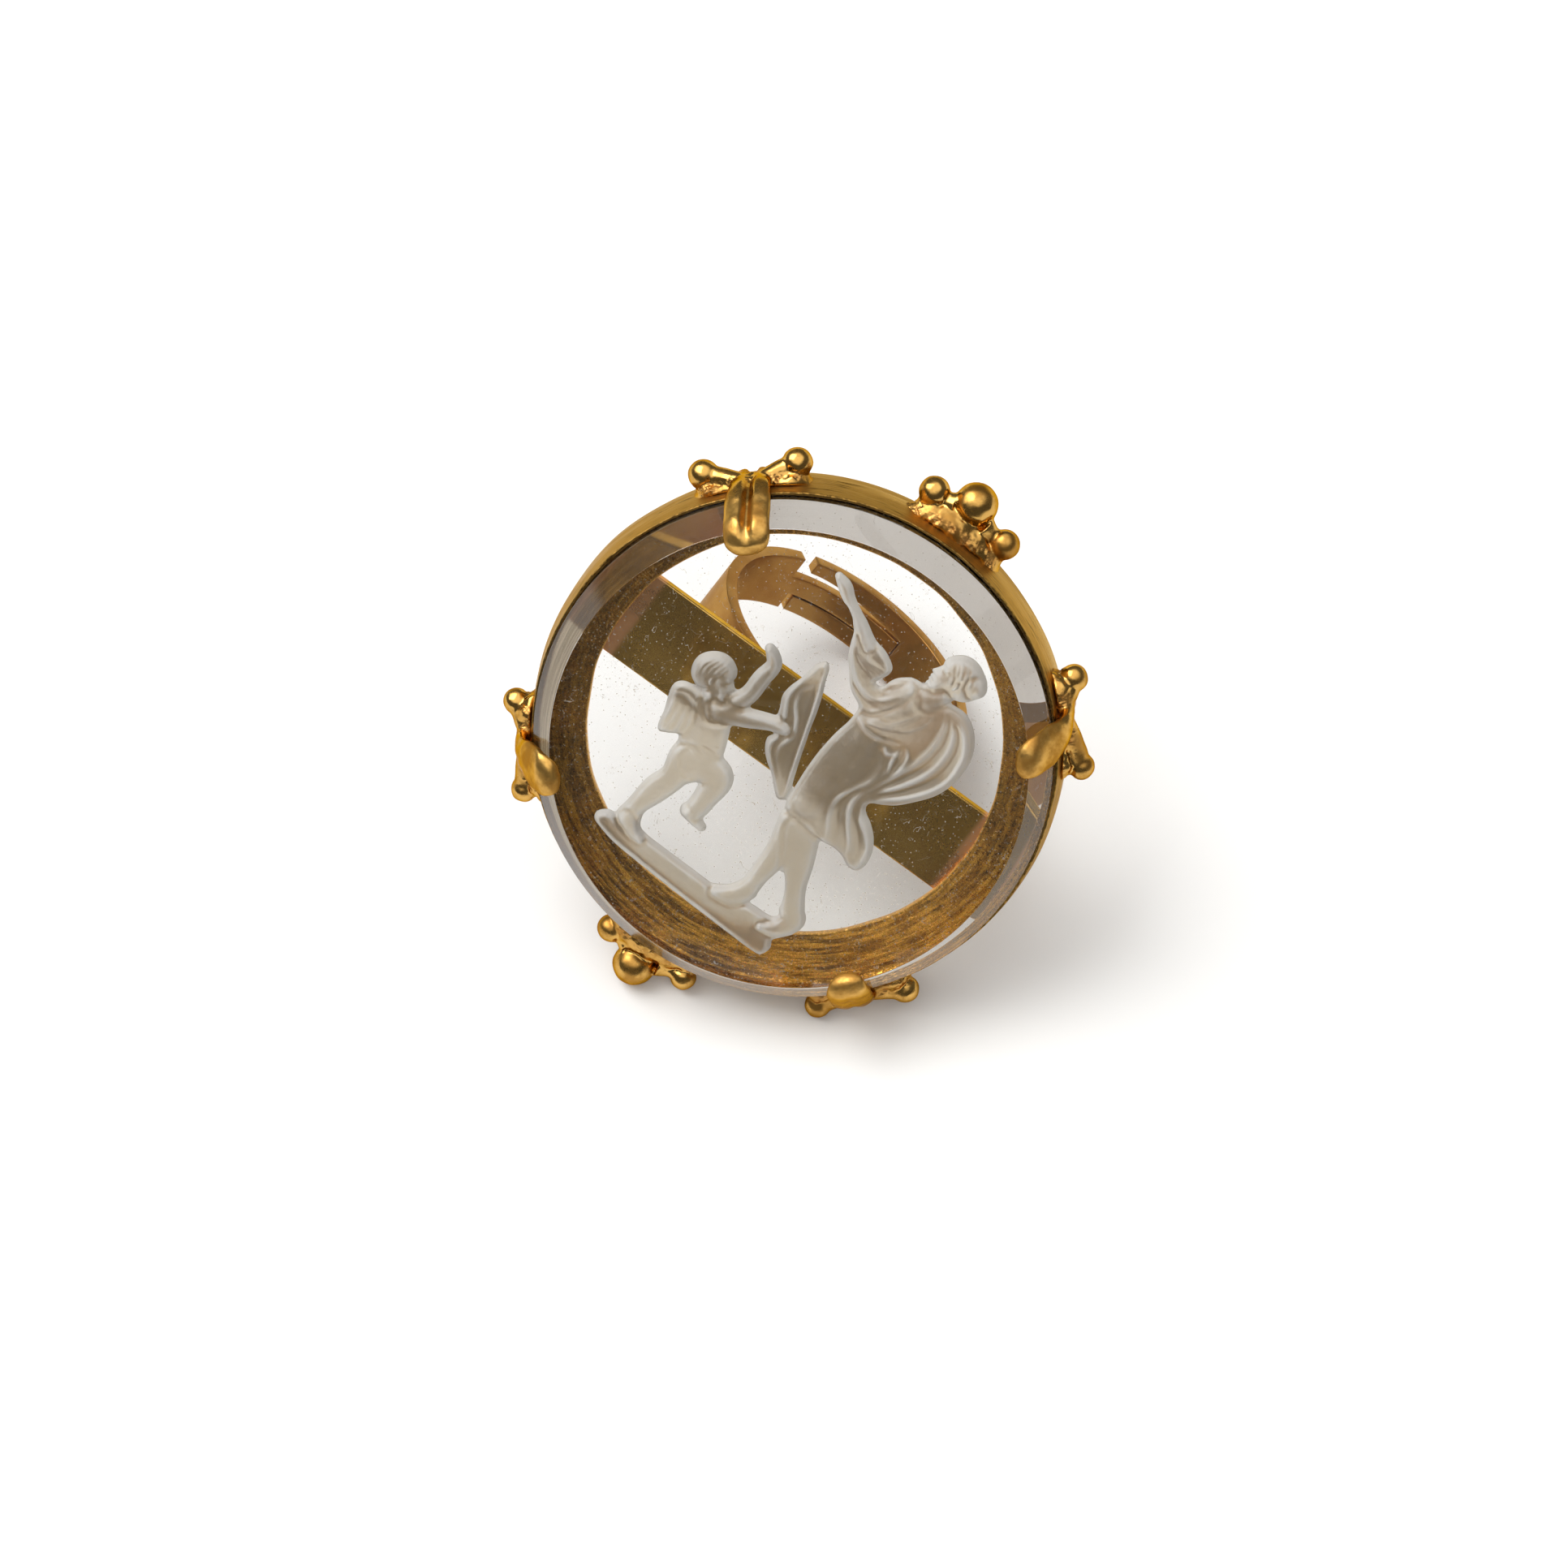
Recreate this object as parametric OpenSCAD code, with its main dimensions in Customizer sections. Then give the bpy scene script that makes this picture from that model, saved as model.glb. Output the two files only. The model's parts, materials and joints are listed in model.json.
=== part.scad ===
// Cameo ring: frosted figures on a round bevelled crystal, held by four claws in an
// open-backed gold setting, with a flat crossbar and an adjustable shank behind it.
//
// The ring is drawn with the crystal's front face in the plane z = 0, the crossbar along X
// and the finger along Y. It is then turned to lie as it lies by itself: on the lower big
// granule, on one small granule beside a claw, and on the lower edge of the shank.
// The origin is the centre of the finger bore.

/* [Crystal] */
// Diameter of the crystal at its widest
crystal_d = 32.4; // [26:0.1:40]
// Width of the bevel, seen from the front
bevel_w = 1.3; // [0.6:0.1:2.5]
// Depth of the bevel
bevel_h = 2; // [1:0.1:2.4]
// Thickness of the crystal
crystal_h = 3.4; // [3:0.1:5]
// Height of the tallest figure above the crystal's face
relief_h = 1.2; // [0.6:0.1:2]

/* [Setting] */
// Clearance between the crystal and the metal
seat_gap = 0.05; // [0.02:0.01:0.15]
// Wall of the collar round the crystal
collar_wall = 0.45; // [0.3:0.05:0.8]
// Height of the collar, from its top edge to the back of the plate
collar_h = 3.55; // [3:0.05:6]
// How far the collar's top edge leans in over the crystal
collar_lean = 0.15; // [0:0.01:0.2]
// How much of the crystal's side stands bare above the collar
bare_side = 0.75; // [0.3:0.05:0.9]
// Width of the ledge that the crystal sits on
ledge_w = 0.45; // [0.3:0.05:1]
// Height of the ledge that the crystal sits on
ledge_h = 0.5; // [0.3:0.05:1]
// Width of the back plate that shows inside the collar
plate_w = 3.1; // [1.5:0.1:5]
// Thickness of the back plate
plate_t = 0.5; // [0.3:0.05:1]

/* [Claws] */
// Width of a claw
claw_w = 2.5; // [1.5:0.1:4]
// Thickness of a claw on the collar
claw_t = 0.9; // [0.5:0.05:1.4]
// Thickness of a claw's tip on the crystal
tip_t = 0.6; // [0.3:0.05:1]
// How far a claw reaches over the crystal's face, inside the bevel
claw_reach = 1.2; // [0.6:0.1:2.5]
// Height of a claw's foot above the back of the plate
claw_foot = 0.8; // [0.4:0.1:1.4]

/* [Granules] */
// Diameter of a small granule
small_d = 1.72; // [1:0.02:2.6]
// Diameter of a big granule
big_d = 2.78; // [2:0.02:4]
// How far a small granule's centre stands off the collar
small_off = 1.05; // [0.6:0.05:1.4]
// How far a big granule's centre stands off the collar
big_off = 2.15; // [1.6:0.05:2.4]
// Height of the granules' centres above the back of the plate
granule_z = 1.5; // [1:0.05:2.2]
// How much deeper the granules of a trio sit
trio_drop = 0.5; // [0:0.05:0.8]

/* [Shank] */
// Width of the crossbar
bar_w = 6; // [4:0.1:9]
// Thickness of the crossbar
bar_t = 0.7; // [0.4:0.05:1.2]
// Diameter of the finger bore
finger_d = 16.7; // [15:0.1:22]
// Thickness of the shank's band
band_t = 0.8; // [0.5:0.05:1.2]
// Width of the shank's band
band_w = 4.1; // [3:0.1:6]
// How far the shank is sunk in its solder under the crossbar
solder_sink = 0.3; // [0.1:0.05:0.4]
// Lean of the shank, in degrees
shank_lean = 8.8; // [0:0.2:12]
// Width of the tongue between the two prongs of the shank
tongue_w = 1.3; // [0.8:0.05:2]
// Width of the slits beside the tongue
slit_w = 0.25; // [0.1:0.05:0.4]
// Gap between the prongs' ends and the shoulders of the other half
prong_gap = 0.9; // [0.3:0.1:1.5]

/* [Hidden] */
$fn = 96;
gold = [0.80, 0.60, 0.26];
clear = [0.86, 0.89, 0.90, 0.4];
frost = [0.80, 0.81, 0.82];

crystal_r = crystal_d/2;
face_r = crystal_r - bevel_w;
rim_z = -bevel_h - bare_side;
back_z = rim_z - collar_h;
crystal_z = -crystal_h;
collar_in = crystal_r + seat_gap;
collar_out = collar_in + collar_wall;
window_r = collar_in - plate_w;
finger_r = finger_d/2;
shank_r = finger_r + band_t;
tip_r = face_r - claw_reach;
// A claw's foot starts inside the collar's wall, also where the wall leans
claw_in = collar_in + (collar_wall - collar_lean)/2;
granule_h = back_z + granule_z;
bar_z = back_z - bar_t;
small_r = small_d/2;
big_r = big_d/2;

// Share of the collar's height that leans, from its top edge down
lean_share = 0.6;
// Corner rounding of a claw, as a share of its thickness
ease_share = 0.33;
// Radius of the solder behind a granule, as a share of the granule's
solder_share = 0.72;
// Place of that solder, as a share of the way from the collar to the granule's centre
solder_at = 0.35;
// How far the crossbar laps over the back plate, as a share of the plate's width
bar_lap = 0.6;
// How far a soldered piece sinks into what carries it
sunk = 0.1;
bar_sunk = 0.02;
// How far a cut runs past what it cuts
past = 1;

// Claws: angle round the setting, slant of the claw in degrees
claws = [
    [41, -16],
    [135, 4],
    [220, 14],
    [319, -6],
];
claw_at = 0;
claw_slant = 1;
// Angle between a claw and each of its two small granules
claw_pair = 9.2;
// Angles of the two trios
trios = [90, 272];
// Angle between a big granule and its two neighbours
trio_pair = 9;

// Angles on the shank, counted from the side that faces right and down
prong_from = -120;
tongue_to = -68;

// Centre of the finger bore, behind the crossbar
bore_y = shank_r*sin(shank_lean);
bore_z = bar_z + solder_sink - shank_r*cos(shank_lean);
bore_c = [0, bore_y, bore_z];
// The shank's own directions: along the finger, across it, and up to the crossbar
along = [0, -cos(shank_lean), -sin(shank_lean)];
up_shank = [0, -sin(shank_lean), cos(shank_lean)];
across = [1, 0, 0];

// What the ring rests on
big_at = let(r = collar_out + big_off, a = trios[1])
    [r*cos(a), r*sin(a), granule_h - trio_drop];
small_at = let(r = collar_out + small_off, a = claws[3][claw_at] - claw_pair)
    [r*cos(a), r*sin(a), granule_h];
edge_at = bore_c + along*band_w/2;

function unit(v) = v/norm(v);
// Lowest point of the shank's edge for an upward direction
function edge_low(up) = let(d = unit([up*across, up*up_shank]))
    edge_at - shank_r*(d[0]*across + d[1]*up_shank);
// Direction square to the plane through the three lowest points
function plane_up(up) = let(
        a = big_at - big_r*up,
        b = small_at - small_r*up,
        c = edge_low(up),
        n = unit(cross(b - a, c - a)))
    n*up < 0 ? -n : n;
// The three points move as the ring tips, so from a rough direction the plane is taken
// again a few times
function settle(up, times) = times == 0 ? up : settle(plane_up(up), times - 1);
rough_up = [-0.4, 0.63, 0.66];
settle_times = 8;
up_dir = settle(unit(rough_up), settle_times);
// The crystal's face looks up and towards -Y
face_dir = [0, 0, 1];
back_dir = unit(up_dir*(face_dir*up_dir) - face_dir);
side_dir = cross(back_dir, up_dir);

// Turns the ring from its drawing plane to the way it rests
module at_rest()
    multmatrix([
        [side_dir[0], side_dir[1], side_dir[2], 0],
        [back_dir[0], back_dir[1], back_dir[2], 0],
        [up_dir[0], up_dir[1], up_dir[2], 0],
        [0, 0, 0, 1]])
    translate(-bore_c)
        children();

// Back plate: a flat ring behind the crystal
module back_plate()
    translate([0, 0, back_z])
        difference() {
            cylinder(h = plate_t, r = collar_out - sunk);
            translate([0, 0, -past]) cylinder(h = plate_t + 2*past, r = window_r);
        }

// Collar with the ledge under the crystal, as one turned profile
module collar()
    rotate_extrude()
        polygon([
            [collar_in, rim_z],
            [collar_out - collar_lean, rim_z],
            [collar_out, rim_z - lean_share*collar_h],
            [collar_out, back_z],
            [collar_in, back_z],
            [collar_in, crystal_z - seat_gap - ledge_h],
            [collar_in - ledge_w, crystal_z - seat_gap - ledge_h/2],
            [collar_in - ledge_w, crystal_z - seat_gap],
            [collar_in, crystal_z - seat_gap],
        ]);

// A claw's section, from its foot on the collar up and over the bevel to its tip
module claw_section() {
    foot_z = back_z + claw_foot;
    wall_r = collar_out + claw_t;
    ease = ease_share*claw_t;
    bevel_out = claw_t*unit([bevel_h, bevel_w]);
    polygon([
        [claw_in, foot_z],
        [wall_r - ease, foot_z],
        [wall_r, foot_z + ease],
        [wall_r, rim_z],
        [crystal_r, -bevel_h] + bevel_out,
        [face_r, 0] + bevel_out,
        [face_r, claw_t],
        [tip_r + ease, tip_t],
        [tip_r, tip_t - ease],
        [tip_r, seat_gap],
        [face_r + seat_gap/2, seat_gap],
        [collar_in, seat_gap - bevel_h],
        [collar_in, rim_z],
        [claw_in, rim_z - ease],
    ]);
}

// One claw: its section drawn out sideways and trimmed to a rounded tip
module claw(slant)
    intersection() {
        rotate([90, 0, 0])
            linear_extrude(height = 2*claw_w, center = true) claw_section();
        // Trims the sides and rounds the tip
        translate([collar_out, 0, back_z])
            rotate([0, 0, slant])
                translate([-collar_out, 0, 0])
                    linear_extrude(height = claw_t + past - back_z) {
                        translate([tip_r + claw_w/2, 0]) circle(r = claw_w/2, $fn = 32);
                        translate([tip_r + claw_w/2, -claw_w/2])
                            square([collar_out + claw_t - tip_r, claw_w]);
                    }
    }

// One granule with the solder that holds it to the collar
module granule(r, off, z) {
    translate([collar_out + off, 0, z]) sphere(r = r, $fn = 32);
    translate([collar_out + solder_at*off, 0, z]) sphere(r = solder_share*r, $fn = 32);
}

// A claw's two small granules
module claw_granules()
    for (side = [-1, 1])
        rotate([0, 0, side*claw_pair]) granule(small_r, small_off, granule_h);

// One big granule with a small one at each side
module trio() {
    granule(big_r, big_off, granule_h - trio_drop);
    for (side = [-1, 1])
        rotate([0, 0, side*trio_pair]) granule(small_r, small_off, granule_h - trio_drop);
}

// Flat bar across the back of the plate, trimmed to the plate's round edge
module crossbar()
    translate([0, 0, bar_z])
        intersection() {
            translate([-collar_out, -bar_w/2, 0])
                cube([2*collar_out, bar_w, bar_t + bar_sunk]);
            cylinder(h = bar_t + bar_sunk, r = window_r + bar_lap*plate_w);
        }

// Angle that a length takes up on the shank's outside
function turn(length) = length/shank_r*180/PI;

// A slice of the shank's band between two angles, in the shank's own frame
module band_slice(from, to, z, w) {
    reach = 2*shank_r;
    mid = (from + to)/2;
    translate([0, 0, z - w/2])
        linear_extrude(height = w)
            polygon([[0, 0], [reach*cos(from), reach*sin(from)],
                [reach*cos(mid), reach*sin(mid)], [reach*cos(to), reach*sin(to)]]);
}

// Shank: a flat band round the finger whose ends meet as a tongue between two prongs
module shank()
    translate(bore_c)
        rotate([90 + shank_lean, 0, 0])
            difference() {
                cylinder(h = band_w, r = shank_r, center = true);
                cylinder(h = band_w + 2*past, r = finger_r, center = true);
                // Slits beside the tongue
                for (side = [-1, 1])
                    band_slice(prong_from, tongue_to, side*(tongue_w + slit_w)/2, slit_w);
                // Gap beyond the tongue's tip
                band_slice(tongue_to - turn(slit_w), tongue_to, 0, tongue_w + 2*slit_w);
                // Gaps beyond the prongs' ends
                for (side = [-1, 1])
                    band_slice(prong_from - turn(prong_gap), prong_from,
                        side*(tongue_w/2 + band_w/2), band_w);
            }

// All the soldered metal
module gold_setting()
    color(gold) at_rest() {
        back_plate();
        collar();
        for (c = claws)
            rotate([0, 0, c[claw_at]]) {
                claw(c[claw_slant]);
                claw_granules();
            }
        for (a = trios) rotate([0, 0, a]) trio();
        crossbar();
        shank();
    }

// Crystal: a round disc with a bevel round its front
module crystal()
    color(clear) at_rest()
        rotate_extrude()
            polygon([
                [0, crystal_z],
                [crystal_r, crystal_z],
                [crystal_r, -bevel_h],
                [face_r, 0],
                [0, 0],
            ]);

// Limbs of the figures as shares of the face's radius, and their rise as a share of the
// relief's height. Each limb runs from one round end to another
from_x = 0;
from_y = 1;
from_r = 2;
to_x = 3;
to_y = 4;
to_r = 5;
rise = 6;
child = [
    // head, neck, chest, belly
    [-0.48, 0.11, 0.085, -0.41, 0.10, 0.06, 1],
    [-0.43, 0.05, 0.045, -0.39, 0, 0.06, 0.6],
    [-0.385, -0.03, 0.08, -0.335, -0.15, 0.075, 0.85],
    [-0.335, -0.15, 0.078, -0.295, -0.25, 0.085, 0.8],
    // rear leg and foot
    [-0.31, -0.27, 0.07, -0.38, -0.44, 0.05, 0.75],
    [-0.38, -0.44, 0.05, -0.405, -0.57, 0.035, 0.6],
    [-0.405, -0.57, 0.035, -0.33, -0.63, 0.04, 0.5],
    // front leg and foot
    [-0.265, -0.25, 0.065, -0.17, -0.25, 0.05, 0.75],
    [-0.165, -0.25, 0.05, -0.175, -0.4, 0.034, 0.65],
    [-0.185, -0.42, 0.032, -0.115, -0.455, 0.024, 0.5],
    // raised arm
    [-0.31, 0.04, 0.045, -0.28, 0.235, 0.036, 0.65],
    [-0.28, 0.235, 0.036, -0.335, 0.355, 0.027, 0.55],
    // arm that holds the bow
    [-0.39, -0.02, 0.045, -0.225, 0.04, 0.03, 0.7],
    [-0.225, 0.04, 0.03, -0.125, 0.13, 0.03, 0.6],
    // feathers of the wing
    [-0.54, -0.02, 0.035, -0.5, -0.17, 0.03, 0.6],
    [-0.48, -0.03, 0.04, -0.45, -0.15, 0.035, 0.6],
];
bow = [
    [-0.13, 0.42, 0.028, 0.08, -0.1, 0.02, 0.5],
    [-0.14, 0.41, 0.028, -0.165, 0.25, 0.028, 0.55],
    [-0.165, 0.25, 0.028, -0.105, 0.15, 0.028, 0.6],
    [-0.105, 0.15, 0.028, -0.115, 0.05, 0.03, 0.6],
    [-0.115, 0.05, 0.03, 0.06, -0.12, 0.024, 0.5],
];
woman = [
    // head, neck, shoulders
    [0.325, 0.7, 0.1, 0.37, 0.755, 0.1, 1],
    [0.29, 0.63, 0.06, 0.25, 0.56, 0.07, 0.7],
    [0.255, 0.56, 0.085, 0.15, 0.44, 0.07, 0.8],
    // back, hips, thighs
    [0.24, 0.46, 0.115, 0.185, 0.33, 0.11, 0.95],
    [0.185, 0.33, 0.11, 0.17, 0.13, 0.105, 0.9],
    [0.17, 0.13, 0.105, 0.18, -0.06, 0.09, 0.8],
    // raised arm and hand
    [0.13, 0.42, 0.055, 0.01, 0.47, 0.05, 0.8],
    [0, 0.48, 0.048, -0.13, 0.67, 0.03, 0.7],
    [-0.13, 0.67, 0.028, -0.25, 0.745, 0.032, 0.6],
    [-0.25, 0.745, 0.032, -0.3, 0.78, 0.018, 0.45],
    // rear leg and foot
    [0.22, -0.18, 0.06, 0.34, -0.38, 0.052, 0.7],
    [0.34, -0.38, 0.052, 0.42, -0.53, 0.045, 0.65],
    [0.42, -0.54, 0.045, 0.43, -0.63, 0.04, 0.55],
    // front leg and foot
    [0.165, -0.16, 0.055, 0.17, -0.35, 0.05, 0.75],
    [0.17, -0.35, 0.05, 0.175, -0.49, 0.042, 0.65],
    [0.17, -0.52, 0.045, 0.09, -0.62, 0.03, 0.5],
];
folds = [
    // sleeve
    [-0.1, 0.67, 0.02, 0.07, 0.57, 0.035, 0.6],
    [-0.03, 0.56, 0.035, 0.07, 0.49, 0.03, 0.6],
    // folds of the billowing cloth, from the neck round to the waist
    [0.41, 0.6, 0.035, 0.52, 0.56, 0.035, 0.6],
    [0.52, 0.56, 0.035, 0.57, 0.42, 0.035, 0.65],
    [0.57, 0.42, 0.035, 0.53, 0.25, 0.035, 0.65],
    [0.53, 0.25, 0.035, 0.39, 0.1, 0.028, 0.55],
    [0.4, 0.55, 0.035, 0.47, 0.46, 0.032, 0.7],
    [0.47, 0.46, 0.032, 0.47, 0.3, 0.032, 0.7],
    [0.47, 0.3, 0.032, 0.36, 0.12, 0.026, 0.6],
    [0.37, 0.5, 0.035, 0.4, 0.36, 0.032, 0.7],
    [0.4, 0.36, 0.032, 0.34, 0.18, 0.026, 0.6],
    // folds of the skirt
    [0.22, 0, 0.03, 0.36, -0.15, 0.028, 0.6],
    [0.27, 0.05, 0.03, 0.48, -0.18, 0.032, 0.65],
    [0.3, 0.14, 0.035, 0.42, -0.03, 0.03, 0.6],
    // ground under both figures
    [-0.45, -0.655, 0.045, 0.37, -0.71, 0.05, 0.55],
];
// Outlines of the thin cloth, wing, bow and ground behind the limbs, in the same shares
wing_edge = [[-0.57, -0.04], [-0.56, 0.01], [-0.485, 0], [-0.4, -0.08], [-0.395, -0.17],
    [-0.45, -0.185], [-0.515, -0.205], [-0.535, -0.13]];
bow_edge = [[-0.155, 0.43], [-0.11, 0.44], [0.09, -0.06], [0.08, -0.14], [0.055, -0.145],
    [-0.09, -0.02], [-0.145, 0.06], [-0.135, 0.17], [-0.185, 0.235]];
sleeve_edge = [[-0.16, 0.69], [-0.045, 0.65], [0.04, 0.63], [0.105, 0.59], [0.09, 0.52],
    [0.095, 0.45], [-0.005, 0.46], [-0.08, 0.55], [-0.11, 0.645]];
dress_edge = [[0.1, 0.37], [0.095, 0.49], [0.21, 0.615], [0.375, 0.58], [0.335, 0.43],
    [0.31, 0.235], [0.34, 0.08], [0.26, -0.195], [0.115, -0.16], [0.07, 0.105], [0.09, 0.27]];
skirt_edge = [[0.115, -0.16], [0.26, -0.195], [0.365, -0.17], [0.425, -0.197],
    [0.497, -0.217], [0.516, -0.157], [0.485, -0.076], [0.44, -0.023], [0.38, 0.02],
    [0.35, 0.085], [0.28, 0.27]];
billow_edge = [[0.36, 0.6], [0.476, 0.63], [0.56, 0.55], [0.6, 0.4], [0.568, 0.258],
    [0.46, 0.12], [0.353, 0.059], [0.33, 0.085], [0.26, 0.28]];
ground_edge = [[0.06, -0.635], [0.17, -0.5], [0.235, -0.58], [0.33, -0.59], [0.38, -0.54],
    [0.475, -0.55], [0.405, -0.75], [0.2, -0.74]];
thin_parts = [wing_edge, bow_edge, sleeve_edge, dress_edge, skirt_edge, billow_edge,
    ground_edge];
// Thickness of the thin parts, as a share of the relief's height
thin_share = 0.35;
// How far from its outline a thin part reaches that thickness, as a share of the radius
thin_slope = 0.03;

// The relief is a height over a lattice of triangles. Each triangle is clipped where the
// figures end, and the clipped ones are given a flat underside on the crystal
limbs = concat(child, bow, woman, folds);
// Lattice steps to a radius, and the lattice's span in steps
steps = 36;
cols = [-22, 23];
rows = [-29, 32];
// A clipped edge is cut no closer than this to either of its ends
clip_margin = 0.15;

// Nearest place on a line between two points, as a share of its length
function foot(p, a, b) = let(d = b - a) min(1, max(0, (p - a)*d/(d*d)));
// A limb's radius beside a point, and how far inside the limb the point lies as a share of it
function limb_depth(p, limb) = let(
        a = [limb[from_x], limb[from_y]],
        b = [limb[to_x], limb[to_y]],
        t = foot(p, a, b),
        r = limb[from_r] + (limb[to_r] - limb[from_r])*t)
    [r, 1 - norm(p - a - (b - a)*t)/r];
// Whether the line from one corner to the next passes right of a point
function crosses(p, a, b) = (a[1] > p[1]) != (b[1] > p[1])
    && p[0] < (b[0] - a[0])*(p[1] - a[1])/(b[1] - a[1]) + a[0];
function sum(v, i = 0) = i == len(v) ? 0 : v[i] + sum(v, i + 1);
// How far a point lies inside an outline
function edge_depth(p, edge) = let(
        n = len(edge),
        far = min([for (i = [0:n - 1]) let(a = edge[i], b = edge[(i + 1)%n])
            norm(p - a - (b - a)*foot(p, a, b))]),
        hits = sum([for (i = [0:n - 1]) crosses(p, edge[i], edge[(i + 1)%n]) ? 1 : 0]))
    hits%2 == 1 ? far : -far;
// One lattice point: its place, its depth inside the figures, and its height
depth = 2;
height = 3;
function lattice_point(i, j) = let(
        p = [i, j]/steps,
        in_limbs = [for (limb = limbs) limb_depth(p, limb)],
        in_thin = max([for (edge = thin_parts) edge_depth(p, edge)]),
        inside = max(in_thin, max([for (d = in_limbs) d[0]*d[1]])),
        round_h = max([for (k = [0:len(limbs) - 1]) let(share = max(0, in_limbs[k][1]))
            limbs[k][rise]*sqrt(share*(2 - share))]),
        thin_h = thin_share*min(1, max(0, in_thin)/thin_slope))
    [p[0]*face_r, p[1]*face_r, inside, max(round_h, thin_h)*relief_h];
lattice = [for (i = [cols[0]:cols[1]]) [for (j = [rows[0]:rows[1]]) lattice_point(i, j)]];

function on_face(q) = [q[0], q[1], 0];
function on_relief(q) = [q[0], q[1], q[height]];
// The point between two lattice points where the figures end
function clip(a, b) = let(
        swap = a[0] > b[0] || (a[0] == b[0] && a[1] > b[1]),
        p = swap ? b : a,
        q = swap ? a : b,
        t = min(1 - clip_margin, max(clip_margin, p[depth]/(p[depth] - q[depth]))),
        at = p + (q - p)*t)
    [at[0], at[1], 0, 0];
// Corners of one lattice triangle's part inside the figures
function clipped(tri) = [for (k = [0:2]) let(a = tri[k], b = tri[(k + 1)%3])
    each concat(a[depth] > 0 ? [a] : [],
        (a[depth] > 0) != (b[depth] > 0) ? [clip(a, b)] : [])];
// That part as separate triangles
function fans(c) = [for (k = [1:1:len(c) - 2]) [c[0], c[k], c[k + 1]]];
relief_tris = [for (i = [0:len(lattice) - 2]) for (j = [0:len(lattice[0]) - 2]) let(
        a = lattice[i][j],
        b = lattice[i + 1][j],
        c = lattice[i + 1][j + 1],
        d = lattice[i][j + 1])
    each concat(fans(clipped([a, b, c])), fans(clipped([a, c, d])))];

// Both figures with their ground, raised on the crystal's face
module cameo_figures() {
    top = [for (t = relief_tris) for (q = t) on_relief(q)];
    under = [for (t = relief_tris) for (q = [t[0], t[2], t[1]]) on_face(q)];
    corners = concat(top, under);
    color(frost) at_rest()
        polyhedron(corners, [for (k = [0:3:len(corners) - 3]) [k + 2, k + 1, k]]);
}

gold_setting();
crystal();
cameo_figures();
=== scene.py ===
import bpy
import json
import numpy as np
from mathutils import Matrix, Vector


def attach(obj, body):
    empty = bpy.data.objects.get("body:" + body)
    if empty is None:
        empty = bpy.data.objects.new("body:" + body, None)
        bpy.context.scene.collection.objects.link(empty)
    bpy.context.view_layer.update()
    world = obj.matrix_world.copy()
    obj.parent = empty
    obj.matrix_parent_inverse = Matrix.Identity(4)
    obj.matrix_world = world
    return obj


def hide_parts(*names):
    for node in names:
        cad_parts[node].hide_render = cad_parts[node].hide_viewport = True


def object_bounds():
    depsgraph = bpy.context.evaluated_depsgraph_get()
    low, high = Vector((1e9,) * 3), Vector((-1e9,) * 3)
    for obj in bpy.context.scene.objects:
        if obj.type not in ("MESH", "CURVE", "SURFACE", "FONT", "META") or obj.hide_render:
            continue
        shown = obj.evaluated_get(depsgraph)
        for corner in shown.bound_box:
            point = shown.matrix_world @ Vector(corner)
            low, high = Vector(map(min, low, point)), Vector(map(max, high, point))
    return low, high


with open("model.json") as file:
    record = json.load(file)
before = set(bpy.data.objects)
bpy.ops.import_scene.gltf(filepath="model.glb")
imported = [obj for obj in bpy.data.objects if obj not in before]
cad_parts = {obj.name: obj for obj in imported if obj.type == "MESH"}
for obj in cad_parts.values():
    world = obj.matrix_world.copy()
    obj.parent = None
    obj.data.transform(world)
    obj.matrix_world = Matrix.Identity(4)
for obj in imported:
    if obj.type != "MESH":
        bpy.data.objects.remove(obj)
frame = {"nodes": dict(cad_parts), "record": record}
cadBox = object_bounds()
floorHeight = cadBox[0][2]
mm = 0.001


def readMesh(rows, key, width=1, kind=float):
    # A property of each row of a mesh's table, as an array
    values = np.empty(len(rows)*width, kind)
    rows.foreach_get(key, values)
    return values.reshape(-1, width) if width > 1 else values


def unit(vectors):
    return vectors/np.linalg.norm(vectors, axis=-1, keepdims=True)


# The ring is drawn in millimetres in its own space: x along the crossbar, y away from the finger's way out,
# z the way the crystal looks, and zero at the centre of the crystal's face. The directions are read from
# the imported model: the crystal's biggest flat face gives z, and the finger bore gives y.
stoneMesh = frame["nodes"]["crystal"].data
normals = readMesh(stoneMesh.polygons, "normal", 3)
faceWay = unit(normals[np.argmax(readMesh(stoneMesh.polygons, "area")*(normals[:, 2] > 0))])
fingerWay = np.array(frame["record"]["mounts"][0]["axis"])
backWay = unit(faceWay*np.dot(fingerWay, faceWay) - fingerWay)
ringAxes = np.array([np.cross(backWay, faceWay), backWay, faceWay])
stonePoints = readMesh(stoneMesh.vertices, "co", 3) @ ringAxes.T
stoneLow, stoneHigh = stonePoints.min(0), stonePoints.max(0)
ringCentre = np.array([*(stoneLow + stoneHigh)[:2]/2, stoneHigh[2]]) @ ringAxes


def place(points):
    # A point's row-frame place: its ring coordinates, along the ring's directions and from its centre
    return np.asarray(points, float)*mm @ ringAxes + ringCentre


stone = dict(radius=16.2, faceRadius=14.9, bevelDepth=2.0, thickness=3.4, rings=(1, 8),
             soft=(0.01, 0.01, 0.03, 0.03, 0.05), around=512)
wall = dict(inner=16.25, outer=16.7, rim=-2.75, back=-6.3, lean=0.15, crease=-5.30)


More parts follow.
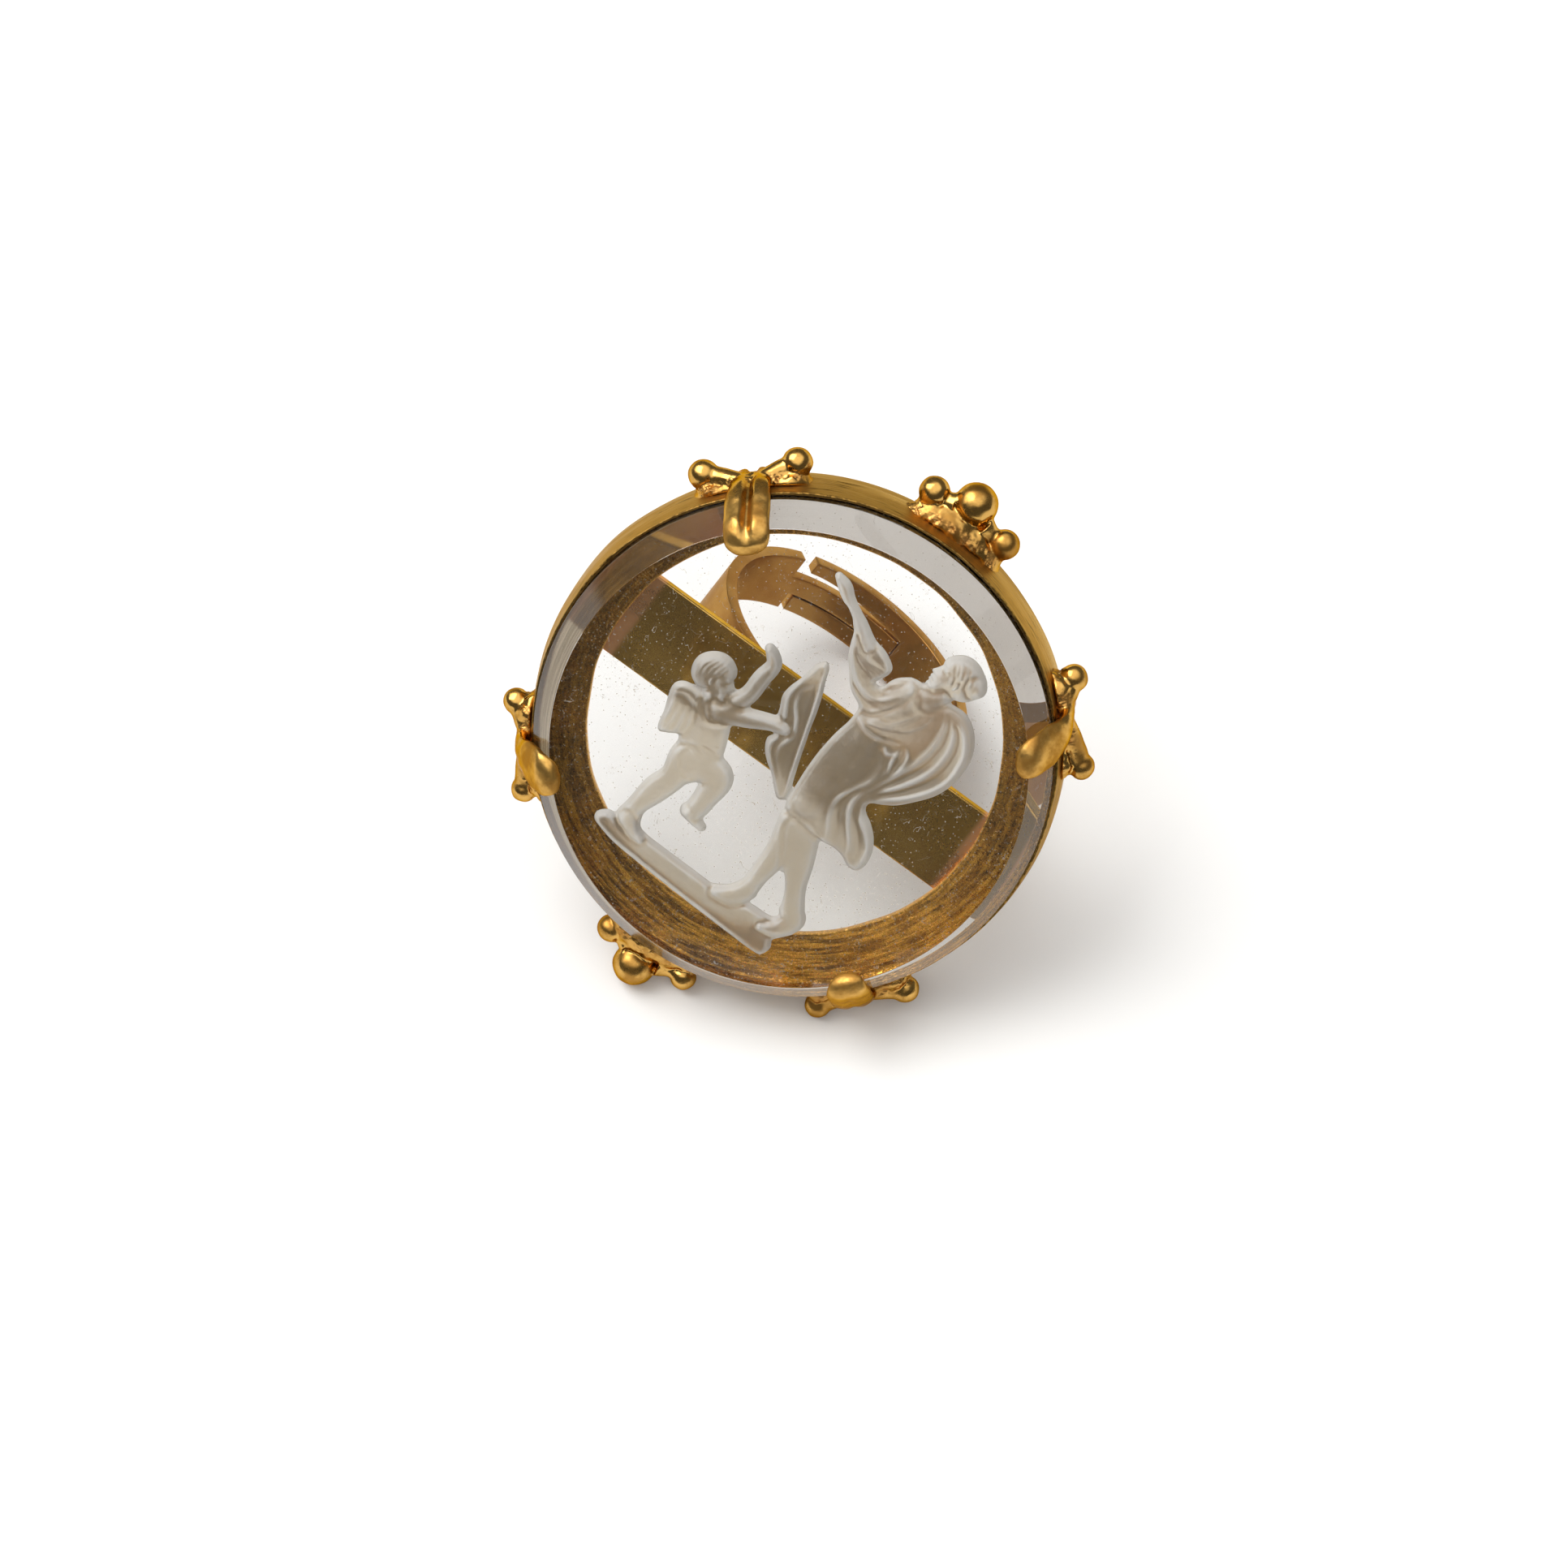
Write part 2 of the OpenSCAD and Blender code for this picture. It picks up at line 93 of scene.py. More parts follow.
def wobble(angle, size, lowest, highest, seed):
    # Sum of sines round the ring, each with its own random strength and phase, scaled to the given size
    draw = np.random.default_rng(seed)
    waves = np.arange(lowest, highest + 1)
    strength = draw.normal(size=len(waves))/np.sqrt(waves/lowest)
    phase = draw.uniform(0, 2*np.pi, len(waves))
    total = (strength*np.sin(np.multiply.outer(angle, waves) + phase)).sum(-1)
    return size*total/np.sqrt(np.mean(strength**2)*len(waves)/2)


def lumps(points, scale, seed, waves=14):
    # Smooth random field in three dimensions, of about -1 to 1: a mean of plane waves in random directions
    draw = np.random.default_rng(seed)
    ways = unit(draw.normal(size=(waves, 3)))*draw.uniform(0.6, 1.6, waves)[:, None]
    phase = draw.uniform(0, 2*np.pi, waves)
    return 4*np.sin(points @ (ways.T/scale*2*np.pi) + phase).mean(-1)


def smoothStep(value, low, high):
    t = np.clip((value - low)/(high - low), 0, 1)
    return t*t*(3 - 2*t)


def curve(points, closed=False, steps=6):
    # Catmull-Rom curve through given points, of any number of columns
    p = np.asarray(points, float)
    ends = (p[-1:], p[:2]) if closed else (2*p[:1] - p[1:2], 2*p[-1:] - p[-2:-1])
    p = np.concatenate([ends[0], p, ends[1]])
    t = np.linspace(0, 1, steps, endpoint=False)[:, None]
    a, b, c, d = (p[k:len(p) - 3 + k, None] for k in range(4))
    inner = b + 0.5*t*(c - a + t*(2*a - 5*b + 4*c - d + t*(3*(b - c) + d - a)))
    inner = inner.reshape(-1, p.shape[1])
    return inner if closed else np.concatenate([inner, p[-2:-1]])


def softLoop(corners, soft, steps=4, most=0.4, beyond=0.2):
    # Each corner is replaced by a parabola between two points a short way along its sides,
    # with one more point beyond each end so that the flats stay flat when shaded
    corners = np.asarray(corners, float)
    soft = np.asarray(soft, float)[..., None]
    ends = []
    for turn in (1, -1):
        side = np.roll(corners, turn, axis=-2) - corners
        length = np.linalg.norm(side, axis=-1, keepdims=True)
        ends.append(corners + side/length*np.minimum(soft, most*length))
    a, b = ends
    parts = [a + beyond*(a - corners)]
    for s in np.linspace(0, 1, steps + 1):
        parts.append((1 - s)**2*a + 2*s*(1 - s)*corners + s**2*b)
    parts.append(b + beyond*(b - corners))
    points = np.stack(parts, axis=-2)
    return points.reshape(points.shape[:-3] + (-1, points.shape[-1]))


def ringPoints(radius, angle, height):
    # Points from their distance from the ring's axis, their angle round it and their height
    return np.stack(np.broadcast_arrays(radius*np.cos(angle), radius*np.sin(angle), height), -1)


def turnRound(points, degrees):
    # Turns points about the ring's axis
    c, s = np.cos(np.radians(degrees)), np.sin(np.radians(degrees))
    return points @ np.array([[c, s, 0], [-s, c, 0], [0, 0, 1]])


def gridPatch(points, closeRows=False, closeCols=False, startPole=None, endPole=None):
    # A grid of points as quads, with its ends closed by fans of triangles where a pole is given
    rows, cols = points.shape[:2]
    i = np.arange(rows if closeRows else rows - 1)[:, None]
    j = np.arange(cols if closeCols else cols - 1)[None, :]
    nextI, nextJ = (i + 1) % rows, (j + 1) % cols
    quads = np.stack([i*cols + j, nextI*cols + j, nextI*cols + nextJ, i*cols + nextJ], -1).reshape(-1, 4)
    flat = points.reshape(-1, 3)
    tris = np.zeros((0, 3), int)
    around = np.arange(cols)
    for pole, row in ((startPole, 0), (endPole, rows - 1)):
        if pole is None:
            continue
        fan = np.stack([row*cols + around, row*cols + (around + 1) % cols, np.full(cols, len(flat))], -1)
        tris = np.concatenate([tris, fan[:, [1, 0, 2]] if row else fan])
        flat = np.concatenate([flat, np.reshape(pole, (1, 3))])
    return outward(flat, quads, tris)


def tubePatch(points):
    # Rings of points, closed at both ends by a fan to the ring's middle
    return gridPatch(points, False, True, points[0].mean(0), points[-1].mean(0))


def outward(points, quads, tris=np.zeros((0, 3), int)):
    # Turned inside out where the volume, a sum of tetrahedra from zero, comes out negative
    every = np.concatenate([quads[:, :3], quads[:, [0, 2, 3]], tris])
    a, b, c = points[every[:, 0]], points[every[:, 1]], points[every[:, 2]]
    if np.einsum("ij,ij->i", a, np.cross(b, c)).sum() < 0:
        quads, tris = quads[:, ::-1], tris[:, ::-1]
    return points, quads, tris


def joined(patches):
    # Patches as one, each with its points' numbers counted on from the last
    starts = np.cumsum([0] + [len(p[0]) for p in patches])
    faces = [np.concatenate([p[kind] + start for p, start in zip(patches, starts)]) for kind in (1, 2)]
    return np.concatenate([p[0] for p in patches]), *faces


def makePiece(name, patches, material, slot, node, **attributes):
    # One mesh in the row frame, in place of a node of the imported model. An attribute has a number a point
    points, quads, tris = joined(patches)
    mesh = bpy.data.meshes.new(name)
    mesh.vertices.add(len(points))
    mesh.vertices.foreach_set("co", place(points).ravel())
    mesh.loops.add(4*len(quads) + 3*len(tris))
    mesh.loops.foreach_set("vertex_index", np.concatenate([quads.ravel(), tris.ravel()]).astype(np.int32))
    mesh.polygons.add(len(quads) + len(tris))
    starts = np.concatenate([4*np.arange(len(quads)), 4*len(quads) + 3*np.arange(len(tris))])
    mesh.polygons.foreach_set("loop_start", starts.astype(np.int32))
    mesh.update(calc_edges=True)
    mesh.validate()
    mesh.polygons.foreach_set("use_smooth", np.ones(len(mesh.polygons), bool))
    for key, values in attributes.items():
        layer = mesh.attributes.new(key, "FLOAT", "POINT")
        layer.data.foreach_set("value", np.asarray(values, np.float32))
    mesh.materials.append(material)
    piece = bpy.data.objects.new(name, mesh)
    bpy.context.scene.collection.objects.link(piece)
    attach(piece, "root")
    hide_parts(node)
    return piece


def faceMiddles(piece):
    # Distance from the ring's axis and height of each face's middle, in ring millimetres
    middle = (readMesh(piece.data.polygons, "center", 3) - ringCentre) @ ringAxes.T/mm
    return np.hypot(middle[:, 0], middle[:, 1]), middle[:, 2]


def paintFaces(piece, material, chosen):
    # Gives the chosen faces a second material
    piece.data.materials.append(material)
    piece.data.polygons.foreach_set("material_index", chosen.astype(np.int32))


def sumAt(points, values, count):
    # Adds up rows of values at the points that they belong to
    return np.stack([np.bincount(points, column, count) for column in values.T], -1)


def fuse(patches, voxel, rounds):
    # One skin over patches that overlap, by Blender's voxel remesh. Then the crooks are filled and the
    # edges rounded: in each round every point moves halfway to the mean of its neighbours
    points, quads, tris = joined(patches)
    mesh = bpy.data.meshes.new("raw")
    mesh.from_pydata(points.tolist(), [], quads.tolist() + tris.tolist())
    raw = bpy.data.objects.new("raw", mesh)
    bpy.context.scene.collection.objects.link(raw)
    remesh = raw.modifiers.new("skin", "REMESH")
    remesh.mode = "VOXEL"
    remesh.voxel_size = voxel
    skin = raw.evaluated_get(bpy.context.evaluated_depsgraph_get()).to_mesh()
    points = readMesh(skin.vertices, "co", 3)
    quads = readMesh(skin.loops, "vertex_index", 1, np.int32).reshape(-1, 4)
    bpy.data.objects.remove(raw)
    bpy.data.meshes.remove(mesh)
    a, b = quads.ravel(), np.roll(quads, -1, axis=1).ravel()
    count = len(points)
    neighbours = np.bincount(a, minlength=count) + np.bincount(b, minlength=count)
    for _ in range(rounds):
        total = sumAt(a, points[b], count) + sumAt(b, points[a], count)
        points = points + 0.5*(total/neighbours[:, None] - points)
    return outward(points, quads)


def pointNormals(points, quads):
    # Mean direction of the faces round each point, each the cross product of a face's diagonals
    p = points[quads]
    flat = np.cross(p[:, 2] - p[:, 0], p[:, 3] - p[:, 1])
    total = sumAt(quads.ravel(), np.repeat(flat, 4, axis=0), len(points))
    return total/np.maximum(np.linalg.norm(total, axis=1), 1e-9)[:, None]


# Materials

def addNode(tree, kind, inputs=(), **settings):
    node = tree.nodes.new(kind)
    for key, value in settings.items():
        setattr(node, key, value)
    return feed(node, dict(inputs))


def feed(node, inputs):
    # Links sockets or sets plain values, by the name or number of the input
    for name, value in inputs.items():
        if isinstance(value, bpy.types.NodeSocket):
            node.id_data.links.new(value, node.inputs[name])
        else:
            node.inputs[name].default_value = value
    return node


def maths(tree, operation, *values):
    return addNode(tree, "ShaderNodeMath", enumerate(values), operation=operation).outputs[0]


def times(tree, a, b):
    return maths(tree, "MULTIPLY", a, b)


def plus(tree, a, b):
    return maths(tree, "ADD", a, b)


def attribute(tree, name):
    return addNode(tree, "ShaderNodeAttribute", attribute_name=name).outputs["Fac"]


def splitCoords(tree, coords):
    return addNode(tree, "ShaderNodeSeparateXYZ", {0: coords}).outputs


def towards(tree, coords, wayX, wayY):
    # How far a place lies towards a direction across the ring
    x, y = splitCoords(tree, coords)[:2]
    return plus(tree, times(tree, x, wayX), times(tree, y, wayY))


def mapped(tree, coords, location, rotation, scale):
    inputs = dict(Vector=coords, Location=location, Rotation=rotation, Scale=scale)
    return addNode(tree, "ShaderNodeMapping", inputs, vector_type="POINT").outputs["Vector"]


def noise(tree, coords, scale, detail=3.0, roughness=0.55, distortion=0.0):
    inputs = dict(Vector=coords, Scale=scale, Detail=detail, Roughness=roughness, Distortion=distortion)
    return addNode(tree, "ShaderNodeTexNoise", inputs).outputs["Fac"]


def ramp(tree, value, low, high, toLow=0.0, toHigh=1.0):
    inputs = {"Value": value, "From Min": low, "From Max": high, "To Min": toLow, "To Max": toHigh}
    return addNode(tree, "ShaderNodeMapRange", inputs, interpolation_type="SMOOTHSTEP").outputs["Result"]


def pattern(tree, coords, scale, detail, roughness, low, high):
    # A noise that goes from 0 to 1 between two of its levels
    return ramp(tree, noise(tree, coords, scale, detail, roughness), low, high)


def blendColours(tree, share, first, second):
    inputs = {0: share}
    for index, colour in ((6, first), (7, second)):
        inputs[index] = colour if isinstance(colour, bpy.types.NodeSocket) else (*colour, 1.0)
    return addNode(tree, "ShaderNodeMix", inputs, data_type="RGBA").outputs[2]


def ringCoords(tree):
    # Ring coordinates in millimetres, from Object coordinates in the row frame
    coords = addNode(tree, "ShaderNodeTexCoord").outputs["Object"]
    turn = Matrix(ringAxes.tolist())
    return mapped(tree, coords, -(turn @ Vector(ringCentre))/mm, turn.to_euler(), (1/mm, 1/mm, 1/mm))


def polarCoords(tree, coords, aroundScale=1.0, radialScale=1.0):
    # Length round the ring, distance from its axis, and height, so that a pattern runs round the ring
    x, y, z = splitCoords(tree, coords)
    angle = maths(tree, "ARCTAN2", y, x)
    radius = maths(tree, "SQRT", plus(tree, times(tree, x, x), times(tree, y, y)))
    inputs = {0: times(tree, angle, aroundScale*stone["radius"]), 1: times(tree, radius, radialScale), 2: z}
    return addNode(tree, "ShaderNodeCombineXYZ", inputs).outputs[0]


def newMaterial(name):
    material = bpy.data.materials.new(name)
    material.use_nodes = True
    tree = material.node_tree
    return material, tree, tree.nodes["Principled BSDF"]


def bumpNormal(tree, height, strength, distance):
    inputs = dict(Height=height, Strength=strength, Distance=distance*mm)
    return addNode(tree, "ShaderNodeBump", inputs).outputs["Normal"]


# Each gold has the tint of its edges, its bright and dull patches, and its colour where the solder
# attribute is up. A texture is a noise's scale, detail and roughness, and in a pattern the two levels that
# it goes between. Where the scale is missing, it comes from the look
goldLooks = dict(
    claws=dict(edge=(0.62, 0.42, 0.22), bright=(0.64, 0.375, 0.10), dull=(0.40, 0.205, 0.045),
               solder=(0.48, 0.245, 0.07), patchScale=0.5, rough=(0.16, 0.36), grain=6.0, bump=0.25),
    collar=dict(edge=(0.74, 0.62, 0.44), bright=(0.56, 0.37, 0.13), dull=(0.38, 0.22, 0.06),
                solder=(0.46, 0.26, 0.06), patchScale=0.5, rough=(0.18, 0.36), grain=5.0, bump=0.3,
                filed=True),
    bar=dict(edge=(0.62, 0.46, 0.24), bright=(0.82, 0.50, 0.13), dull=(0.46, 0.27, 0.06),
             solder=(0.85, 0.44, 0.22), patchScale=0.16, rough=(0.14, 0.30), grain=9.0, bump=0.12),
    shank=dict(edge=(0.80, 0.70, 0.52), bright=(0.46, 0.245, 0.07), dull=(0.40, 0.185, 0.045),
               solder=(0.66, 0.52, 0.34), patchScale=0.2, rough=(0.28, 0.40), grain=2.0, bump=0.03),
)
goldWear = dict(patches=(5.0, 0.6, 0.38, 0.62), grain=(4.0, 0.6), grainBump=0.15, solderShare=0.85,
                solderRough=0.10, lumpy=(3.4, 5.0, 0.7), lumpyBump=1.6, padRough=0.14,
                brushed=(2.2, 5.0, 0.7), brushedBump=0.8, bumpDepth=0.12)
filing = dict(slant=24, stretch=(0.35, 1.0, 5.0), cuts=(1.0, 4.0, 0.7, 0.52, 0.60), around=0.12,
              areas=(0.35, 2.0, 0.55, 0.42, 0.58), lip=(0.16, 0.02), specks=(3.5, 4.0, 0.7, 0.44, 0.56),
              strength=0.85, colour=(0.10, 0.055, 0.015))


def fileMarks(tree, coords):
    # Slanting cuts in some areas of the collar's outside, and specks along its lip
    slant = (0.0, np.radians(filing["slant"]), 0.0)
    slanted = mapped(tree, polarCoords(tree, coords, 1.0, 0.0), (0.0, 0.0, 0.0), slant, filing["stretch"])
    cuts = times(tree, pattern(tree, slanted, *filing["cuts"]), pattern(tree, coords, *filing["areas"]))
    height = splitCoords(tree, coords)[2]
    lip = ramp(tree, height, *(wall["rim"] - below for below in filing["lip"]))
    return maths(tree, "MAXIMUM", cuts, times(tree, lip, pattern(tree, coords, *filing["specks"])))


def goldMaterial(name, look):
    # Worn gold: patches of a duller, rougher gold, a fine grain, lumpy metal where the solder attribute is
    # up, and a brushed surface where the pad attribute is. Filed gold has its marks where the solder
    # attribute is up
    material, tree, shader = newMaterial(name)
    coords = ringCoords(tree)
    solder, pad = attribute(tree, "solder"), attribute(tree, "pad")
    marks = None
    if look.get("filed"):
        marks = fileMarks(tree, coords)
        coords = polarCoords(tree, coords, filing["around"])
    patches = pattern(tree, coords, look["patchScale"], *goldWear["patches"])
    grain = noise(tree, coords, look["grain"], *goldWear["grain"])
    colour = blendColours(tree, patches, look["bright"], look["dull"])
    colour = blendColours(tree, times(tree, solder, goldWear["solderShare"]), colour, look["solder"])
    if marks:
        marks = times(tree, times(tree, marks, solder), filing["strength"])
        colour = blendColours(tree, marks, colour, filing["colour"])
    mean = times(tree, plus(tree, patches, grain), 0.5)
    rough = ramp(tree, mean, 0.2, 0.8, *look["rough"])
    rough = plus(tree, rough, times(tree, solder, goldWear["solderRough"]))
    rough = plus(tree, rough, times(tree, pad, goldWear["padRough"]))
    height = times(tree, grain, goldWear["grainBump"])
    for kind, where in (("lumpy", solder), ("brushed", pad)):
        bumps = times(tree, noise(tree, coords, *goldWear[kind]), times(tree, where, goldWear[kind + "Bump"]))
        height = plus(tree, height, bumps)
    feed(shader, {"Base Color": colour, "Metallic": 1.0, "Specular Tint": (*look["edge"], 1.0),
                  "Roughness": rough,
                  "Normal": bumpNormal(tree, height, look["bump"], goldWear["bumpDepth"])})
    return material


# The window glint colour is a painted highlight along the window's edge
plateLook = dict(coarse=(0.30, 5.0, 0.7, 0.38, 0.62),
                 coarseColours=((0.17, 0.095, 0.028), (0.42, 0.20, 0.038)), ringScale=0.10,
                 rings=(3.2, 5.0, 0.7, 0.40, 0.66), ringColour=(1.0, 0.56, 0.10), ringBump=0.7,
                 lowWay=(0.5, -0.87), turned=(2.0, 13.0, 0.35, 1.0), fine=(4.5, 6.0, 0.8, 0.44, 0.64),
                 fineShare=0.5, fineColour=(0.085, 0.05, 0.018), specks=(6.5, 3.0, 0.6, 0.64, 0.70),
                 speckShare=0.9, speckColour=(0.95, 0.72, 0.38), windowGlintColour=(0.95, 0.56, 0.16),
                 rough=(0.26, 0.46), bump=(0.5, 0.08))


def plateMaterial():
    # Dark mottled gold inside the setting, with fine rings that show more towards its lower end, light
    # specks, and a painted highlight along the window's edge: a bright line where the solder attribute is up
    look = plateLook
    material, tree, shader = newMaterial("mottledGold")
    coords = ringCoords(tree)
    coarse, fine, specks = (pattern(tree, coords, *look[key]) for key in ("coarse", "fine", "specks"))
    rings = pattern(tree, polarCoords(tree, coords, look["ringScale"]), *look["rings"])
    turned = ramp(tree, towards(tree, coords, *look["lowWay"]), *look["turned"])
    colour = blendColours(tree, coarse, *look["coarseColours"])
    for share, key in ((times(tree, rings, turned), "ringColour"),
                       (times(tree, fine, look["fineShare"]), "fineColour"),
                       (times(tree, specks, look["speckShare"]), "speckColour"),
                       (attribute(tree, "solder"), "windowGlintColour")):
        colour = blendColours(tree, share, colour, look[key])
    relief = plus(tree, times(tree, rings, look["ringBump"]), fine)
    feed(shader, {"Base Color": colour, "Metallic": 1.0,
                  "Roughness": ramp(tree, fine, 0.0, 1.0, *look["rough"]),
                  "Normal": bumpNormal(tree, relief, *look["bump"])})
    return material


def letLampsThrough(tree, shader, tint):
    # Lamps reach what is behind the glass
    shadow = addNode(tree, "ShaderNodeLightPath").outputs["Is Shadow Ray"]
    clear = addNode(tree, "ShaderNodeBsdfTransparent", {"Color": (*tint, 1.0)})
    mix = addNode(tree, "ShaderNodeMixShader", {0: shadow, 1: shader.outputs[0], 2: clear.outputs[0]})
    feed(tree.nodes["Material Output"], {"Surface": mix.outputs[0]})


crystalLook = dict(colour=(0.96, 0.97, 0.97), rough=0.015, ior=1.5, shadow=(0.90, 0.90, 0.89),
                   dust=(0.56, 0.50, 0.43), dustSee=0.3, cells=2.2, dotSize=0.085, dotsFrom=0.3,
                   hairs=(0.45, 3.0, 0.6, 0.8), hairWidth=0.0018, hairAreas=(1.1, 1.0), hairsFrom=0.60)


def dustSpecks(tree, coords, look):
    # Dots of dust, one to a cell and only in some cells, and hairs along a line of a slow noise
    inputs = dict(Vector=coords, Scale=look["cells"])
    cells = addNode(tree, "ShaderNodeTexVoronoi", inputs, voronoi_dimensions="2D")
    chance = addNode(tree, "ShaderNodeSeparateColor", {0: cells.outputs["Color"]}).outputs[0]
    radius = ramp(tree, chance, look["dotsFrom"], 1.0, 0.0, look["dotSize"])
    dots = maths(tree, "LESS_THAN", cells.outputs["Distance"], radius)
    line = maths(tree, "ABSOLUTE", maths(tree, "SUBTRACT", noise(tree, coords, *look["hairs"]), 0.5))
    areas = maths(tree, "GREATER_THAN", noise(tree, coords, *look["hairAreas"]), look["hairsFrom"])
    hairs = times(tree, maths(tree, "LESS_THAN", line, look["hairWidth"]), areas)
    return maths(tree, "MAXIMUM", dots, hairs)


def crystalMaterial():
    # Clear polished crystal with dust and hairs
    look = crystalLook
    material, tree, shader = newMaterial("clearCrystal")
    dust = dustSpecks(tree, ringCoords(tree), look)
    feed(shader, {"Base Color": blendColours(tree, dust, look["colour"], look["dust"]),
                  "Roughness": look["rough"], "IOR": look["ior"],
                  "Transmission Weight": ramp(tree, dust, 0.0, 1.0, 1.0, look["dustSee"])})
    letLampsThrough(tree, shader, look["shadow"])
    return material


# The bevel's grey, and its darker brown towards the left, are painted shade for the shadowed floor and dark
# gold seen through it
bevelLook = dict(aroundScale=0.05, radialScale=3.0, streaks=(2.4, 5.0, 0.65, 0.40, 0.72),
                 leftWay=(-0.80, -0.60), left=(-4.0, 12.0), right=(0.62, 0.60, 0.565),
                 paintedBrownShade=(0.09, 0.055, 0.02), streak=(0.24, 0.17, 0.085), rough=(0.02, 0.12), see=(1.0, 0.93),
                 specular=0.2, ior=1.5, shadow=(0.6, 0.58, 0.55))


def bevelMaterial():
    # The crystal's bevel and side: clear glass with painted shade, grey, and towards the left darker and
    # browner, with streaks round the crystal and a little less polish
    look = bevelLook
    material, tree, shader = newMaterial("paintedShadeBevel")
    coords = ringCoords(tree)
    around = polarCoords(tree, coords, look["aroundScale"], look["radialScale"])
    streaks = pattern(tree, around, *look["streaks"])
    paintedBrownShade = ramp(tree, towards(tree, coords, *look["leftWay"]), *look["left"])
    colour = blendColours(tree, paintedBrownShade, look["right"], look["paintedBrownShade"])
    colour = blendColours(tree, times(tree, streaks, paintedBrownShade), colour, look["streak"])
    feed(shader, {"Base Color": colour, "Roughness": ramp(tree, paintedBrownShade, 0.0, 1.0, *look["rough"]),
                  "Specular IOR Level": look["specular"], "IOR": look["ior"],
                  "Transmission Weight": ramp(tree, paintedBrownShade, 0.0, 1.0, *look["see"])})
    letLampsThrough(tree, shader, look["shadow"])
    return material


frostLook = dict(grain=(7.0, 5.0, 0.75), clouds=(0.7, 3.0, 0.6), share=0.5, range=(0.1, 1.0), ior=1.28,
                 clear=(0.60, 0.535, 0.43), white=(0.63, 0.62, 0.595), rough=(0.28, 0.42), see=(0.86, 0.42),
                 bump=(0.35, 0.05), shadow=(0.8, 0.8, 0.8))


def frostMaterial():
    # Frosted glass, whiter where the attribute for frost and painted highlight is up. Elsewhere what is
    # behind it shows through
    look = frostLook
    material, tree, shader = newMaterial("frostedCrystal")
    coords = ringCoords(tree)
    grain, clouds = (noise(tree, coords, *look[key]) for key in ("grain", "clouds"))
    frost = attribute(tree, "frost")
    for texture in (grain, clouds):
        frost = plus(tree, frost, times(tree, maths(tree, "SUBTRACT", texture, 0.5), look["share"]))
    frost = ramp(tree, frost, *look["range"])
    feed(shader, {"Base Color": blendColours(tree, frost, look["clear"], look["white"]), "IOR": look["ior"],
                  "Roughness": ramp(tree, frost, 0.0, 1.0, *look["rough"]),
                  "Transmission Weight": ramp(tree, frost, 0.0, 1.0, *look["see"]),
                  "Normal": bumpNormal(tree, grain, *look["bump"])})
    letLampsThrough(tree, shader, look["shadow"])
    return material


clawGold = goldMaterial("polishedGold", goldLooks["claws"])
collarGold = goldMaterial("filedGold", goldLooks["collar"])
barGold = goldMaterial("satinGold", goldLooks["bar"])
shankGold = goldMaterial("bandGold", goldLooks["shank"])
plateGold = plateMaterial()
clearCrystal = crystalMaterial()
paintedShadeBevel = bevelMaterial()
frostedCrystal = frostMaterial()
print("materials made")

# Collar and back plate: one profile of corners carried round the ring. The window's edge, the rim and the
# crease wander a little, as hand work does: each has a size, its fewest and most waves round, and a seed
collar = dict(window=13.15, windowIn=0.1, shift=0.22, shiftAt=185, plateTop=-5.8, ledge=15.8,
              ledgeTop=-3.45, ledgeTip=-3.7, ledgeLow=-3.95, lip=0.12, bulge=0.05, creaseOut=0.03,
              creaseIn=0.04, creaseTall=0.12, steps=720, filedFrom=-0.05, filedOver=0.15,
              windowGlintFades=(0.14, 0.02))
handWork = dict(window=(0.035, 3, 24, 11), rim=(0.05, 2, 14, 12), fineRim=(0.015, 30, 90, 13),
                outer=(0.02, 3, 20, 14), crease=(0.12, 2, 9, 15), ledge=(0.06, 4, 30, 16))


def collarProfile(angle):
    # Each corner is a radius, a height and the length over which it is rounded
    wander = {key: wobble(angle, *waves) for key, waves in handWork.items()}
    shift = collar["shift"]*np.cos(angle - np.radians(collar["shiftAt"]))
    window = collar["window"] - collar["windowIn"] + shift + wander["window"]
    rim = wall["rim"] + wander["rim"] + wander["fineRim"]
    outer = wall["outer"] + wander["outer"]
    crease = wall["crease"] + wander["crease"]
    ledge = collar["ledge"] + wander["ledge"]
    lip = outer - wall["lean"] - collar["lip"]
    bulge = (outer + lip)/2 + collar["bulge"]
    inner, plateTop, back = wall["inner"], collar["plateTop"], wall["back"]
    corners = [
        (window, plateTop, 0.1), (inner, plateTop, 0.2), (inner, collar["ledgeLow"], 0.15),
        (ledge, collar["ledgeTip"], 0.08), (ledge, collar["ledgeTop"], 0.08),
        (inner, collar["ledgeTop"], 0.1), (inner, rim, 0.04), (lip, rim, 0.06),
        (bulge, (rim + crease)/2, 0.4),
        (outer + collar["creaseOut"], crease, 0.04),
        (outer - collar["creaseIn"], crease - collar["creaseTall"], 0.05),
        (outer, back, 0.12), (window, back, 0.08)]
    points = [np.stack([radius + 0*angle, height + 0*angle], -1) for radius, height, soft in corners]
    return softLoop(np.stack(points, -2), [soft for radius, height, soft in corners])


angle = np.linspace(0, 2*np.pi, collar["steps"], endpoint=False)
loop = collarProfile(angle)
radius, height = loop[..., 0], loop[..., 1]
# The leaning band between rim and crease is filed dark, and the window's edge gets a painted
# highlight, a bright line. Both take the attribute that solder takes elsewhere
filed = np.clip((height - wall["crease"] - collar["filedFrom"])/collar["filedOver"], 0, 1)
filed = filed*(radius > wall["inner"] + 0.1)
# The window's edge gets its painted highlight here, fading over the glint's width
filed = np.maximum(filed, smoothStep(radius - radius.min(1, keepdims=True), *collar["windowGlintFades"]))
collarPatch = gridPatch(ringPoints(radius, angle[:, None], height), True, True)
collarPiece = makePiece("collar", [collarPatch], collarGold, "gold_setting", "gold_setting",
                        solder=filed.ravel())
